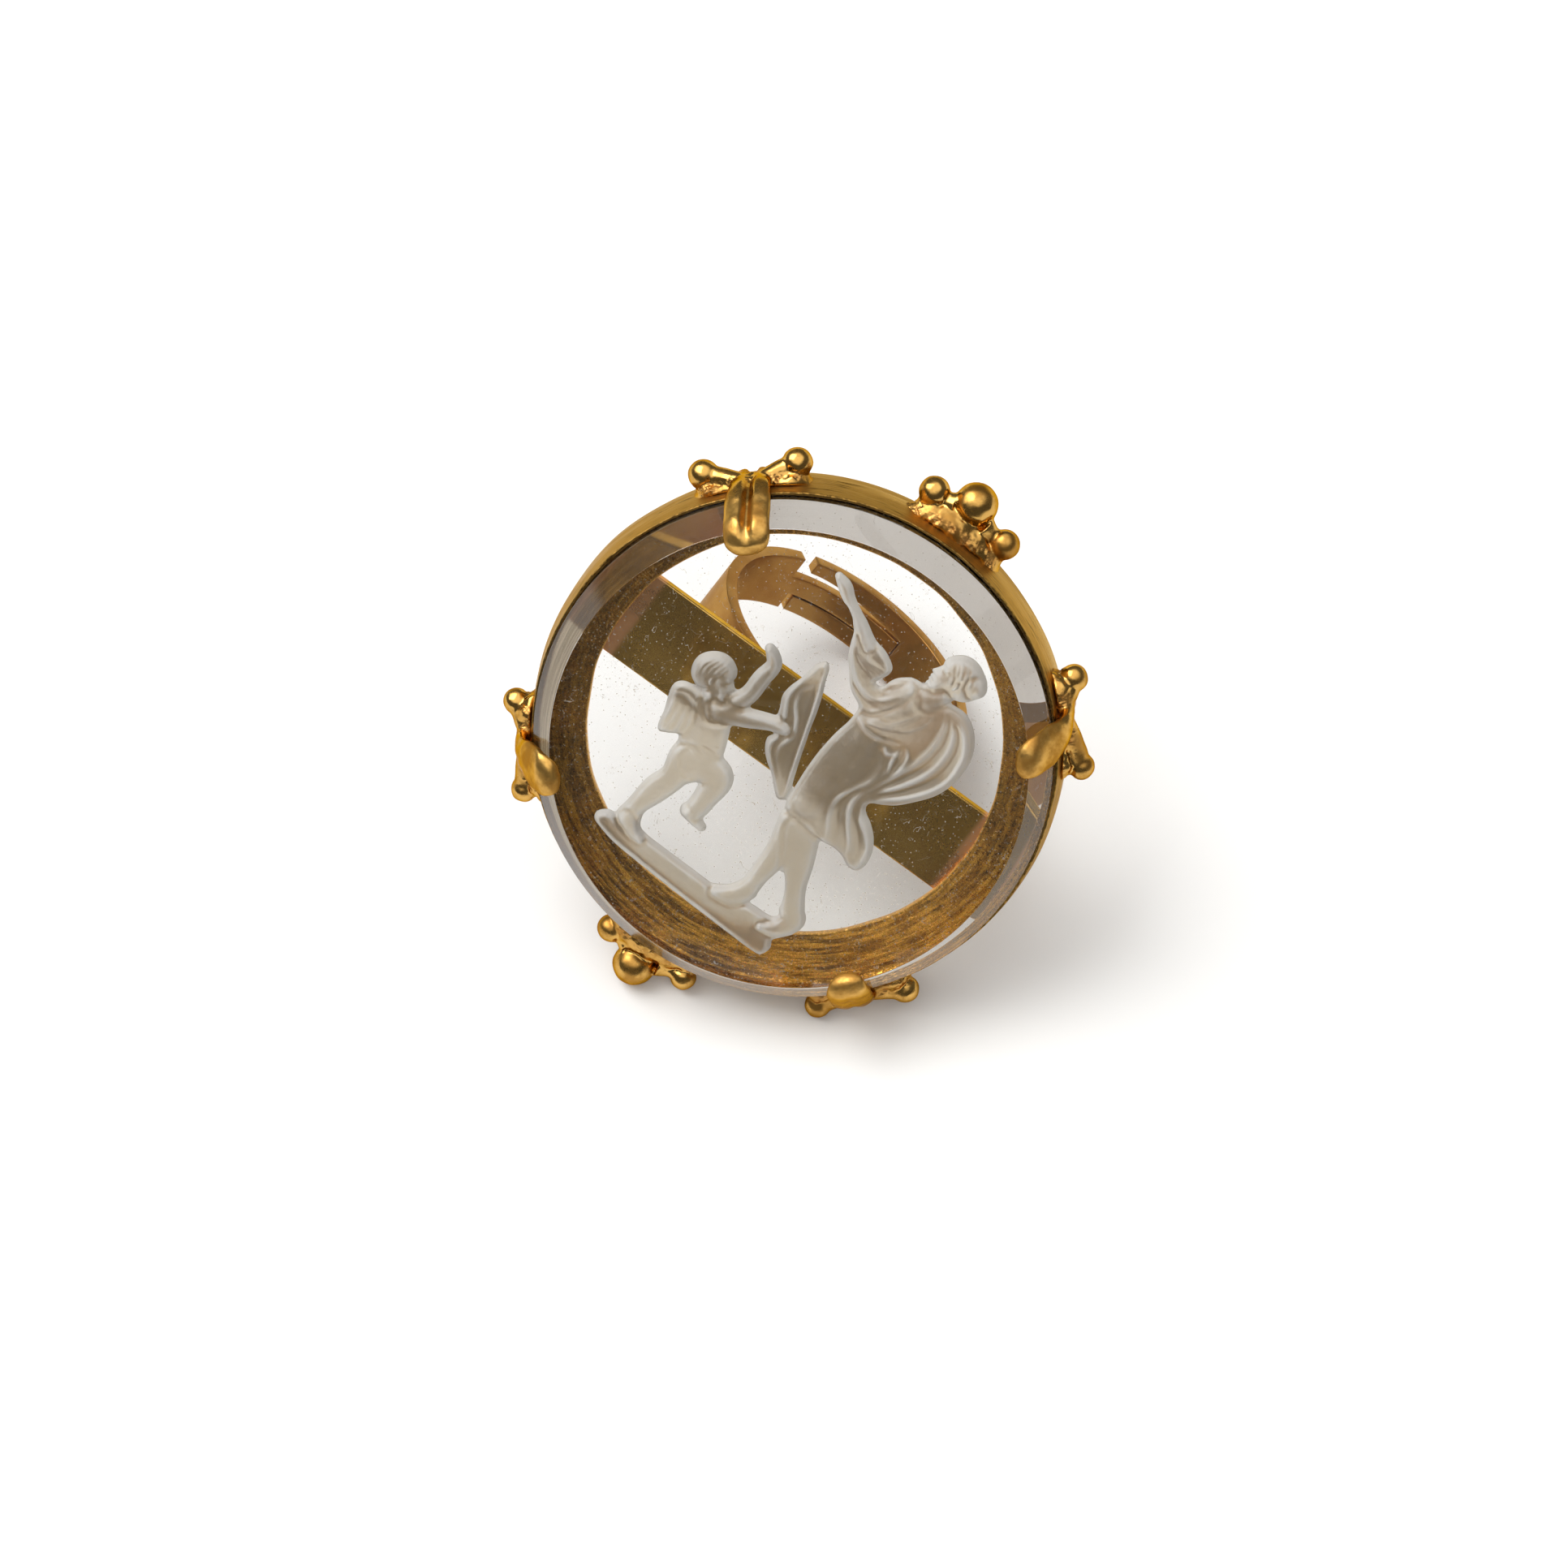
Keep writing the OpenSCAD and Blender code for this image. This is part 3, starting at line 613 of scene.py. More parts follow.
# The inside of the wall and the plate's upper face take the mottled gold
middleRadius, middleHeight = faceMiddles(collarPiece)
within = (middleRadius < wall["inner"] + 0.03) & (middleHeight > wall["back"] + 0.02)
paintFaces(collarPiece, plateGold, within)
print("collar made")

# Crossbar: a flat bar whose long sides end on a circle, as shares of each line's own half length. It is
# redder towards its ends, where it is soldered on
bar = dict(width=6.0, thickness=0.7, reach=15.0, soft=0.12, steps=240, seam=(-0.75, -0.35))
side, depth = bar["width"]/2, bar["thickness"]
section = softLoop([(-side, 0), (side, 0), (side, -depth), (-side, -depth)], [bar["soft"]]*4)
share = np.linspace(-1, 1, bar["steps"])[:, None]
half = np.sqrt(bar["reach"]**2 - section[None, :, 0]**2)
barPoints = np.stack(np.broadcast_arrays(share*half, section[:, 0], wall["back"] + section[:, 1]), -1)
ends = [(sign*bar["reach"], 0, wall["back"] - depth/2) for sign in (-1, 1)]
fromWindow = np.hypot(barPoints[..., 0], barPoints[..., 1]) - collar["window"]
seam = np.append(smoothStep(fromWindow, *bar["seam"]), [1.0, 1.0])
makePiece("crossbar", [gridPatch(barPoints, False, True, *ends)], barGold, "gold_setting", "gold_setting",
          solder=seam)

# Shank: a flat sheet, bent round the finger. Across and along the band it is a grid of cells, and the cells
# in the slits and gaps are left out. A tongue at one end lies between two prongs of the other: a wide slit
# and a thin one are beside it, its tip stops short of the band, and so do the prongs' ends
shank = dict(finger=8.35, thickness=0.8, width=4.1, lean=np.radians(8.8), sink=0.3, tongue=(-0.5, 0.8),
             wideSlit=0.16, thinSlit=0.10, slitOpens=0.52, tipGap=0.10, prongFrom=-120.0, tongueTo=-68.0,
             wideGap=1.1, thinGap=0.45, cell=0.25, sideCells=6, tongueCells=7, wornEdge=0.16)


def shankPatch():
    outside = shank["finger"] + shank["thickness"]
    turn = np.degrees(1/outside)
    first, prongEnd = shank["tongueTo"], shank["prongFrom"] + 360
    wideEnd, thinEnd = prongEnd - shank["wideGap"]*turn, prongEnd - shank["thinGap"]*turn
    tipEnd = first + 360 - shank["tipGap"]*turn
    marks = [first, wideEnd, thinEnd, prongEnd, tipEnd, first + 360]
    turns = np.concatenate([np.linspace(a, b, max(2, int((b - a)/turn/shank["cell"])), endpoint=False)
                            for a, b in zip(marks[:-1], marks[1:])])
    (low, high), edge = shank["tongue"], shank["width"]/2
    across = np.concatenate([np.linspace(-edge, low - shank["wideSlit"], shank["sideCells"]),
                             np.linspace(low, high, shank["tongueCells"]),
                             np.linspace(high + shank["thinSlit"], edge, shank["sideCells"])])
    lines = np.append(turns, marks[-1])
    t = ((lines[:-1] + lines[1:])/2)[:, None]
    s = ((across[:-1] + across[1:])/2)[None, :]
    slits = (s < low) & (s > low - shank["wideSlit"]) | (s > high) & (s < high + shank["thinSlit"])
    slits = slits & (t > prongEnd)
    gaps = (t < prongEnd) & ((t > wideEnd) & (s < low) | (t > thinEnd) & (s > high))
    tip = (t > tipEnd) & (s > low) & (s < high)
    # The wide slit opens towards the prong's end, by squeezing the prong towards its outer edge
    opening = shank["slitOpens"]*smoothStep(turns, tipEnd, prongEnd)*(turns > thinEnd + 0.1)
    squeeze = 1 - opening[:, None]/(edge + low - shank["wideSlit"])
    across = np.where(across < low - 0.01, -edge + (across + edge)*squeeze, across)
    a = np.radians(turns)[:, None]
    middle = outside - shank["thickness"]/2
    up, lean = middle*np.sin(a), shank["lean"]
    boreZ = wall["back"] - bar["thickness"] + shank["sink"] - outside*np.cos(lean)
    y = outside*np.sin(lean) - up*np.sin(lean) - across*np.cos(lean)
    z = boreZ + up*np.cos(lean) - across*np.sin(lean)
    rows, cols = across.shape
    i, j = np.nonzero(~(gaps | slits | tip))
    n = (i + 1) % rows
    quads = np.stack([i*cols + j, n*cols + j, n*cols + j + 1, i*cols + j + 1], -1)
    used, quads = np.unique(quads, return_inverse=True)
    points = np.stack(np.broadcast_arrays(middle*np.cos(a), y, z), -1).reshape(-1, 3)[used]
    return points, quads.reshape(-1, 4), np.zeros((0, 3), int)


shankObject = makePiece("shank", [shankPatch()], shankGold, "gold_setting", "gold_setting")
solid = shankObject.modifiers.new("thickness", "SOLIDIFY")
solid.thickness = shank["thickness"]*mm
solid.offset = 0
solid.use_even_offset = True
worn = shankObject.modifiers.new("wornEdges", "BEVEL")
worn.width = shank["wornEdge"]*mm
worn.segments = 3
worn.limit_method = "ANGLE"
print("shank and crossbar made")

# Claws: each runs along a line of points, each a radius and a height, from its foot up the wall, over the
# bevel and on to the face. Across, it is a rounded strip, flat below. Towards the tip it narrows as an
# ellipse does. Pair and sizes are its two granules' turns from it and their radii
clawColumns = ("at", "slant", "groove", "reach", "width", "neck", "sway", "pair", "sizes")
claws = [dict(zip(clawColumns, row)) for row in (
    (41, -18, 0.0, 0.85, 2.7, 0.50, 1.1, (-9.2, 9.4), (0.86, 0.90)),
    (135, 3, 0.60, 1.5, 2.95, 0.85, 0.0, (-9.3, 9.9), (0.98, 0.98)),
    (220, 12, 0.0, 0.65, 3.1, 0.55, -1.0, (-9.5, 9.2), (0.86, 0.86)),
    (319, 8, 0.12, 0.75, 2.8, 0.9, 0.0, (-9.2, 9.2), (0.86, 0.90)))]
clawSize = dict(thickness=0.95, tipThickness=1.0, tipFrom=0.55, foot=-5.2, inWall=0.1, lift=0.03, bend=0.5,
                round=1.3, leastWidth=0.12, leastThickness=0.25, tipRise=1.6, neckFrom=1.2, neckTo=4.2,
                sidePower=0.6, topPower=0.7, crown=0.25, grooveWidth=0.26, grooveFades=(0.7, 2.0),
                swayFades=(3.4, 0.6), along=90, across=48)
# A trio's small granules are each a turn from the big one, a distance off the wall and a radius
trios = [dict(at=90, small=((-9.2, 1.40, 0.98), (8.0, 1.45, 1.0))),
         dict(at=272, small=((-8.0, 1.15, 0.92), (9.6, 1.25, 0.86)))]
ball = dict(big=1.39, smallOff=1.05, bigOff=2.15, height=-4.8, trioDrop=0.5, smallUp=0.1)
# A granule's neck, in shares of its radius, then the rings on its neck and ball, and the points in each
neck = dict(root=0.3, start=-0.6, width=0.66, flare=0.32, flareLength=0.30, flareMost=1.3, to=-0.2,
            fade=0.9, tip=0.02, rings=(22, 34), around=40)
# A soldered arm's sections: share of the turn to the granule, what is added to the granule's distance off
# the wall and to its height, and a radius
clawArm = [(1.0, -0.10, 0.0, 0.76), (0.72, -0.37, 0.2, 0.70), (0.45, -0.63, 0.55, 0.66),
           (0.2, -0.85, 0.9, 0.60), (0.0, -1.0, 1.1, 0.5)]
trioArm = [(1.0, 0.0, 0.0, 0.62), (0.7, -0.1, 0.0, 0.56), (0.4, 0.0, 0.1, 0.80)]
# A bead of solder ends at a turn each way, stands at a height above the granules, and its half height is a
# length and a share of its size. Its size is a sum of bell curves, each with a height and a spread: one in
# the middle, one at each granule, and in a trio one on the way to each
clawSolder = dict(span=12.4, up=0.6, tall=(0.45, 0.60), middle=(0.66, 7), granule=(0.62, 2.8), seed=90)
trioSolder = dict(span=12.9, up=0.3, tall=(0.45, 0.50), middle=(1.30, 3.6), granule=(0.80, 2.6),
                  between=(0.90, 2.8), betweenAt=0.55, seed=150)
bead = dict(inWall=0.05, root=-0.25, least=0.10, lumpScale=0.6, lumpSize=0.08, along=110, across=26)
skin = dict(voxel=0.055, rounds=14, solderOff=(0.95, 0.35), solderBelow=(0.1, 0.8),
            solderPatches=(0.55, 0.6, 1.3), bumps=((0.035, 0.5), (0.018, 0.24)), dents=(0.012, 1.1),
            most=0.03, mostSolder=0.1, pads=(-2.2, -0.6), clawSeed=300, trioSeed=400)


def bendPath(corners, bend, count, steps=12, most=0.45):
    # Points spread evenly along a line whose corners are rounded by parabolas
    corners = np.asarray(corners, float)
    s = np.linspace(0, 1, steps)[:, None]
    dense = [corners[:1]]
    for before, corner, after in zip(corners[:-2], corners[1:-1], corners[2:]):
        sides = before - corner, after - corner
        a, b = (corner + unit(side)*min(bend, most*np.linalg.norm(side)) for side in sides)
        dense.append((1 - s)**2*a + 2*s*(1 - s)*corner + s**2*b)
    dense = np.concatenate(dense + [corners[-1:]])
    length = np.concatenate([[0], np.cumsum(np.linalg.norm(np.diff(dense, axis=0), axis=1))])
    even = np.linspace(0, length[-1], count)
    return np.stack([np.interp(even, length, dense[:, k]) for k in (0, 1)], -1), even


def clawPatch(claw):
    # Across, half the width times a cosine and the thickness times a sine, both raised to a power that
    # squares them up. The neck is narrower and sways aside, and a groove runs down the middle of some
    size = clawSize
    face, lift, foot = stone["faceRadius"], size["lift"], wall["outer"] - size["inWall"]
    line = [(foot, size["foot"]), (foot - 0.02, wall["rim"]), (stone["radius"] + 0.05, -stone["bevelDepth"]),
            (face + 0.02, lift), (face - claw["reach"], lift)]
    path, s = bendPath(line, size["bend"], size["along"])
    step = unit(np.gradient(path, axis=0))
    out = np.stack([step[:, 1], -step[:, 0]], -1)
    fromTip = np.clip((s[-1] - s)/size["round"], 0, 1)
    narrow = size["leastWidth"] + (1 - size["leastWidth"])*np.sqrt(np.clip(1 - (1 - fromTip)**2, 0, 1))
    necked = claw["neck"] + (1 - claw["neck"])*smoothStep(s, size["neckFrom"], size["neckTo"])
    width = (claw["width"]*narrow*necked)[:, None]
    thick = np.interp(s, [s[-1]*size["tipFrom"], s[-1]], [size["thickness"], size["tipThickness"]])
    least = size["leastThickness"]
    thick = thick*(least + (1 - least)*np.sqrt(np.clip(fromTip*size["tipRise"], 0, 1)))
    v = np.linspace(0, 2*np.pi, size["across"], endpoint=False)[None, :]
    side = np.sign(np.cos(v))*abs(np.cos(v))**size["sidePower"]
    rise = 0.5 + 0.5*np.sign(np.sin(v))*abs(np.sin(v))**size["topPower"]
    t = width/2*side
    groove = claw["groove"]*smoothStep(s[-1] - s, *size["grooveFades"])[:, None]
    groove = groove*np.exp(-(t/size["grooveWidth"])**2)
    h = thick[:, None]*rise*(1 - groove - size["crown"]*side**2*rise)
    r = path[:, :1] + out[:, :1]*h
    z = path[:, 1:] + out[:, 1:]*h
    sway = claw["sway"]*smoothStep(s, *size["swayFades"])[:, None]
    t = t + (wall["outer"] - r)*np.tan(np.radians(claw["slant"])) + sway
    return tubePatch(turnRound(np.stack([r, t, z], -1), claw["at"]))


def granulePatch(at, radius, off, height):
    # A ball on a neck, turned about a line that points out of the collar. Its radius is the ball's circle,
    # or the neck where that is wider, and the neck flares like an exponential towards the wall
    rings = neck["rings"]
    ballAngles = np.linspace(np.arccos(-neck["start"]), np.pi, rings[1])
    x = np.concatenate([np.linspace(-off - neck["root"], neck["start"]*radius, rings[0], endpoint=False),
                        -radius*np.cos(ballAngles)])
    circle = np.sqrt(np.clip(radius**2 - x**2, 0, None))
    flare = np.clip(np.exp(-(x + off)/(neck["flareLength"]*radius)), 0, neck["flareMost"])
    width = radius*(neck["width"] + neck["flare"]*flare)
    width = width*np.clip(1 - np.clip(x/radius - neck["to"], 0, None)/neck["fade"], 0, 1)
    rho = np.maximum(circle, width)
    rho[-1] = neck["tip"]*radius
    v = np.linspace(0, 2*np.pi, neck["around"], endpoint=False)
    x, rho = x[:, None] + wall["outer"] + off, rho[:, None]
    points = np.stack(np.broadcast_arrays(x, rho*np.cos(v), rho*np.sin(v) + height), -1)
    return tubePatch(turnRound(points, at))


def solderPatch(at, high, rises, look, number):
    # A rough bead of solder along the wall: half an ellipse across
    span = look["span"]
    turn = np.linspace(-span, span, bead["along"])
    ending = np.sqrt(np.clip(1 - (turn/span)**4, 0, 1))
    size = sum(rise*np.exp(-((turn - where)/spread)**2) for where, rise, spread in rises)
    size = (bead["least"] + size)*ending + 0.01
    v = np.append(np.linspace(-np.pi/2, np.pi/2, bead["across"]), np.pi)
    outside = np.clip(np.cos(v), 0, 1)
    r = wall["outer"] - bead["inWall"] + np.where(v > 3, bead["root"], 0) + outside*size[:, None]
    tall = np.sin(v)*((look["tall"][0] + look["tall"][1]*size)*ending)[:, None]
    angle = np.radians(at + turn)[:, None]
    points = ringPoints(r, angle, high + look["up"] + tall)
    bumps = lumps(points, bead["lumpScale"], look["seed"] + number)*bead["lumpSize"]*outside
    return tubePatch(points + ringPoints(bumps, angle, 0))


def armPatch(at, rows, turn, off, high, aside=0.0, around=28):
    # A tapered arm of metal from a granule to the claw, or towards the big granule. Its rings are circles
    # square to the way along
    p = curve([(share*turn + (1 - share)*aside, off + out, high + up, radius)
               for share, out, up, radius in rows], steps=7)
    centre = ringPoints(wall["outer"] + p[:, 1], np.radians(at + p[:, 0]), p[:, 2])
    way = unit(np.gradient(centre, axis=0))
    sideways = unit(np.cross(way, (0, 0, 1)))
    over = np.cross(sideways, way)
    v = np.linspace(0, 2*np.pi, around, endpoint=False)[None, :, None]
    points = centre[:, None] + (np.cos(v)*sideways[:, None] + np.sin(v)*over[:, None])*p[:, None, 3:]
    return gridPatch(points, False, True, centre[0], centre[-1])


def makeCluster(name, patches, seed):
    # One fused skin. The metal near the wall below the rim is solder, which is lumpy: its points move along
    # their normals by a sum of waves. The rest has soft dents. The pad attribute is up over the crystal
    points, quads, tris = fuse(patches, skin["voxel"], skin["rounds"])
    off = np.hypot(points[:, 0], points[:, 1]) - wall["outer"]
    below = smoothStep(wall["rim"] - points[:, 2], *skin["solderBelow"])
    base, change, scale = skin["solderPatches"]
    solder = np.clip(base + change*lumps(points, scale, seed + 3), 0, 1)
    solder = solder*smoothStep(off, *skin["solderOff"])*below
    dentSize, dentScale = skin["dents"]
    bumps = sum(size*lumps(points, scale, seed + k) for k, (size, scale) in enumerate(skin["bumps"]))*solder
    bumps = bumps + dentSize*lumps(points, dentScale, seed + 2)
    bumps = np.minimum(bumps, skin["most"] + skin["mostSolder"]*solder) - dentSize
    points = points + pointNormals(points, quads)*bumps[:, None]
    makePiece(name, [(points, quads, tris)], clawGold, "gold_setting", "gold_setting", solder=solder,
              pad=smoothStep(points[:, 2], *skin["pads"]))


for number, claw in enumerate(claws):
    at, off, high = claw["at"], ball["smallOff"], ball["height"]
    aside = np.degrees(claw["sway"]/wall["outer"])
    patches = [clawPatch(claw)]
    rises = [(aside, *clawSolder["middle"])]
    for turn, size in zip(claw["pair"], claw["sizes"]):
        patches.append(granulePatch(at + turn, size, off, high))
        patches.append(armPatch(at, clawArm, turn, off, high, aside))
        rises.append((turn, *clawSolder["granule"]))
    patches.append(solderPatch(at, high, rises, clawSolder, number))
    makeCluster("claw_%d" % (number + 1), patches, skin["clawSeed"] + 10*number)
for number, trio in enumerate(trios):
    at, high = trio["at"], ball["height"] - ball["trioDrop"]
    patches = [granulePatch(at, ball["big"], ball["bigOff"], high)]
    rises = [(0, *trioSolder["middle"])]
    for turn, off, size in trio["small"]:
        patches.append(granulePatch(at + turn, size, off, high + ball["smallUp"]))
        patches.append(armPatch(at, trioArm, turn, off, high + ball["smallUp"]))
        rises.append((turn*trioSolder["betweenAt"], *trioSolder["between"]))
        rises.append((turn, *trioSolder["granule"]))
    patches.append(solderPatch(at, high, rises, trioSolder, number))
    makeCluster("trio_%d" % (number + 1), patches, skin["trioSeed"] + 10*number)
print("claws and granules made")

# Crystal: the profile of a bevelled disc carried round, closed at its two poles. The rings inside the
# corners are flat, so that the face and the back stay flat when shaded
back = -stone["thickness"]
corners = [(0, back), (0, 0), (stone["faceRadius"], 0), (stone["radius"], -stone["bevelDepth"]),
           (stone["radius"], back)]
innerRing, outerRing = stone["rings"]
profile = softLoop(corners, stone["soft"])
profile = profile[profile[:, 0] > innerRing]
profile = np.concatenate([[(innerRing, 0), (outerRing, 0)], profile, [(outerRing, back), (innerRing, back)]])
angle = np.linspace(0, 2*np.pi, stone["around"], endpoint=False)
stoneGrid = ringPoints(profile[:, :1], angle, profile[:, 1:])
crystalPiece = makePiece("crystal", [gridPatch(stoneGrid, False, True, (0, 0, 0), (0, 0, back))],
                         clearCrystal, "crystal", "crystal")
# The bevel and side take the glass with painted shade
middleRadius, middleHeight = faceMiddles(crystalPiece)
outside = (middleRadius > stone["faceRadius"] + 0.02) & (middleHeight > back + 0.1)
paintFaces(crystalPiece, paintedShadeBevel, outside)
print("crystal made")

# Figures: a height field over a square grid of points, cut along its outline. Each form is a limb, a row of
# points with a radius at each, or a smooth closed outline. Sizes are ring millimetres
relief = dict(cell=0.068, edge=0.1, fillet=0.3, blend=0.16, furrow=0.12, furrowWidth=0.16, under=0.01,
              low=(-8.9, -11.9), high=(9.4, 12.8), rim=0.2, frost=(0.15, 0.28, 4), around=5,
              frostRim=(0.30, 0.08), frostRimLeast=0.85, frostUnder=0.3, grain=(0.006, 0.5, 201))
xs, ys = (np.arange(low, high, relief["cell"]) for low, high in zip(relief["low"], relief["high"]))
gridX, gridY = np.meshgrid(xs, ys, indexing="ij")
depthInside = np.full(gridX.shape, -5.0)
heights = np.zeros(gridX.shape)


def smoothMax(a, b, k):
    # The larger of two, with the corner where they cross filled over a width k
    return np.maximum(a, b) + np.clip(k - abs(a - b), 0, None)**2/(4*k)


def nearGrid(points, margin):
    # The part of the grid round a few points
    low, high = points[:, :2].min(0) - margin, points[:, :2].max(0) + margin
    return slice(*np.searchsorted(xs, (low[0], high[0]))), slice(*np.searchsorted(ys, (low[1], high[1])))


def fromSegment(x, y, a, b):
    # The nearest place on a segment, as a share of its length, and the distance to it
    ax, ay, bx, by = *a[:2], *b[:2]
    t = np.clip(((x - ax)*(bx - ax) + (y - ay)*(by - ay))/((bx - ax)**2 + (by - ay)**2), 0, 1)
    return t, np.hypot(x - ax - t*(bx - ax), y - ay - t*(by - ay))


def insideLimb(x, y, line):
    # Depth inside a chain of tapered pieces, which is the local radius less the distance, and that radius
    best = np.full(x.shape, -9.0)
    radius = np.ones(x.shape)
    for a, b in zip(line[:-1], line[1:]):
        t, distance = fromSegment(x, y, a, b)
        r = a[2] + t*(b[2] - a[2])
        radius = np.where(r - distance > best, r, radius)
        best = np.maximum(best, r - distance)
    return best, radius


def insideOutline(x, y, line):
    # Distance to a closed outline, positive where a ray to the right crosses it an odd number of times
    best = np.full(x.shape, 9.0)
    inside = np.zeros(x.shape, bool)
    for a, b in zip(line, np.roll(line, -1, axis=0)):
        best = np.minimum(best, fromSegment(x, y, a, b)[1])
        if a[1] != b[1]:
            inside ^= ((a[1] > y) != (b[1] > y)) & (x < a[0] + (y - a[1])*(b[0] - a[0])/(b[1] - a[1]))
    return np.where(inside, best, -best)


def lay(points, height, shoulder=None, furrow=relief["furrow"]):
    # Lays a form over what is there. Its height rises from the edge like a quarter circle over the
    # shoulder's width, or a limb's radius, and a furrow follows its outline where it crosses others
    line = curve(points, closed=shoulder is not None)
    part = nearGrid(line, 1.8)
    x, y = gridX[part], gridY[part]
    depth, width = insideLimb(x, y, line) if shoulder is None else (insideOutline(x, y, line), shoulder)
    rise = 1 - np.clip(depth/width, 0, 1)
    own = (relief["edge"] + (height - relief["edge"])*np.sqrt(1 - rise**2))*(depth > 0)
    depthInside[part] = smoothMax(depthInside[part], depth, relief["fillet"])
    cut = furrow*np.exp(-(depth/relief["furrowWidth"])**2)
    heights[part] = smoothMax(np.maximum(heights[part] - cut, 0), own, relief["blend"])


def crease(points, height, width):
    # A ridge, or a groove where the height is negative, along a curve, fading at both ends
    line = curve(points)
    line = np.column_stack([line, np.sin(np.linspace(0.15, np.pi - 0.15, len(line)))])
    part = nearGrid(line, 4*width)
    best = np.full(gridX[part].shape, 9.0)
    fade = np.zeros(best.shape)
    for a, b in zip(line[:-1], line[1:]):
        t, distance = fromSegment(gridX[part], gridY[part], a, b)
        fade = np.where(distance < best, a[2] + t*(b[2] - a[2]), fade)
        best = np.minimum(best, distance)
    heights[part] += height*fade*np.exp(-(best/width)**2)


# A plain profile, facing right, on the old rule of thirds: brow a quarter up, eyes at half height, nose a
# little under halfway to the chin, mouth a third below it
faceProfile = [(0.78, 0.62), (0.87, 0.40), (0.885, 0.22), (0.84, 0.08), (0.92, -0.12), (1.04, -0.34),
               (0.93, -0.43), (0.965, -0.53), (0.92, -0.60), (0.945, -0.67), (0.88, -0.76), (0.90, -0.88),
               (0.72, -1.0)]
skull = [(0.40, -0.94), (0.10, -0.62), (-0.45, -0.70), (-0.86, -0.42), (-1.0, 0.05), (-0.88, 0.55),
         (-0.5, 0.9), (0.0, 1.04), (0.45, 0.93)]
# Hairline, brow, eye and mouth, each with its height and width
features = [([(0.62, 0.74), (0.36, 0.38), (0.16, 0.02), (0.02, -0.4)], -0.07, 0.06),
            ([(0.50, 0.10), (0.64, 0.12), (0.80, 0.06)], 0.05, 0.06),
            ([(0.52, 0.0), (0.64, -0.04), (0.76, 0.0)], -0.07, 0.045),
            ([(0.70, -0.60), (0.80, -0.595), (0.92, -0.60)], -0.06, 0.04)]
ear = [(-0.02, 0.02, 0.1), (-0.06, -0.14, 0.1), (-0.03, -0.28, 0.07)]


def layHead(centre, size, facing, tilt, height):
    # The head's own axes are turned by the tilt and mirrored where it faces left
    c, s = np.cos(np.radians(tilt)), np.sin(np.radians(tilt))

    def turned(points):
        p = np.array(points, float)
        x, y = p[:, 0], p[:, 1]
        p[:, :2] = np.stack([facing*(c*x - s*y), s*x + c*y], -1)*size + np.array(centre)
        p[:, 2:] *= size
        return p

    lay(turned(faceProfile + skull), height, 0.75*size)
    for x in np.linspace(-0.9, 0.62, 8):
        strand = [(x, 0.86 - 0.35*x**2), (x - 0.32, 0.42 - 0.1*x), (x - 0.42, -0.05 - 0.3*abs(x))]
        crease(turned([(max(a, -0.93), b) for a, b in strand]), 0.07*size, 0.075*size)
    for points, rise, width in features:
        crease(turned(points), rise*size, width*size)
    lay(turned(ear), height + 0.03, furrow=0.08)


# Ground strip
lay([(-7.5, -10.1), (-7.3, -9.7), (-6.8, -9.4), (-5.6, -9.35), (-4, -9.35), (-1, -9.4), (1.5, -9.4),
     (3.6, -9.0), (4.6, -8.95), (5.4, -8.9), (6.7, -8.9), (6.4, -9.5), (6.05, -10.1), (6.25, -10.6),
     (6.1, -11.2), (5.6, -11.45), (3, -11.42), (0, -11.32), (-3.5, -11.15), (-5.5, -11.0), (-6.6, -10.75),
     (-7.3, -10.5)], 0.55, 0.45)
crease([(-7.2, -10.35), (-5.4, -10.8), (-3, -10.95), (0, -11.1), (3, -11.2), (5.8, -11.2)], 0.2, 0.13)
crease([(-6.6, -10.2), (-4, -10.45), (0, -10.6), (4, -10.7)], -0.08, 0.3)

# Child with wings
lay([(-7.9, 0.35), (-8.4, 0.0), (-8.5, -0.5), (-8.3, -1.2), (-8.0, -2.0), (-7.8, -2.9), (-7.5, -3.3),
     (-7.0, -3.1), (-6.4, -2.75), (-6.0, -2.9), (-5.6, -1.6), (-5.8, -0.2), (-6.8, 0.4)], 0.5, 0.45)
for x, top, end in ((-8.0, -0.5, -2.7), (-7.5, -0.9, -3.0), (-7.0, -1.0, -2.9), (-6.5, -1.0, -2.6)):
    crease([(x, top), (x + 0.2, (top + end)/2), (x + 0.25, end)], 0.14, 0.13)
crease([(-8.2, -0.6), (-7.6, -0.3), (-6.9, -0.4), (-6.2, -0.7)], 0.12, 0.16)
lay([(-5.5, 0.0, 1.1), (-5.0, -1.4, 1.25), (-4.75, -2.8, 1.45), (-4.75, -3.9, 1.25)], 0.8)
lay([(-5.1, -3.8, 1.1), (-5.05, -5.2, 0.88), (-5.45, -6.6, 0.88), (-5.75, -8.1, 0.66),
     (-5.75, -9.0, 0.78)], 0.75)
lay([(-5.75, -9.1, 0.6), (-5.0, -9.55, 0.45), (-4.3, -9.75, 0.28)], 0.75, furrow=0.1)
lay([(-4.3, -3.4, 1.15), (-2.85, -3.55, 1.02), (-2.68, -5.0, 0.79), (-2.72, -6.1, 0.7), (-3.0, -6.4, 0.5)],
     0.9, furrow=0.08)
lay([(-3.05, -6.45, 0.42), (-2.4, -6.65, 0.4), (-1.75, -6.8, 0.3)], 0.75, furrow=0.05)
lay([(-6.1, 0.7, 0.75), (-5.6, -0.1, 0.8)], 0.8, furrow=0.05)
lay([(-5.2, 0.4, 0.75), (-4.45, 1.9, 0.6), (-4.4, 3.4, 0.58), (-4.3, 4.5, 0.5), (-4.75, 5.05, 0.42),
     (-5.1, 5.25, 0.33)], 0.75)
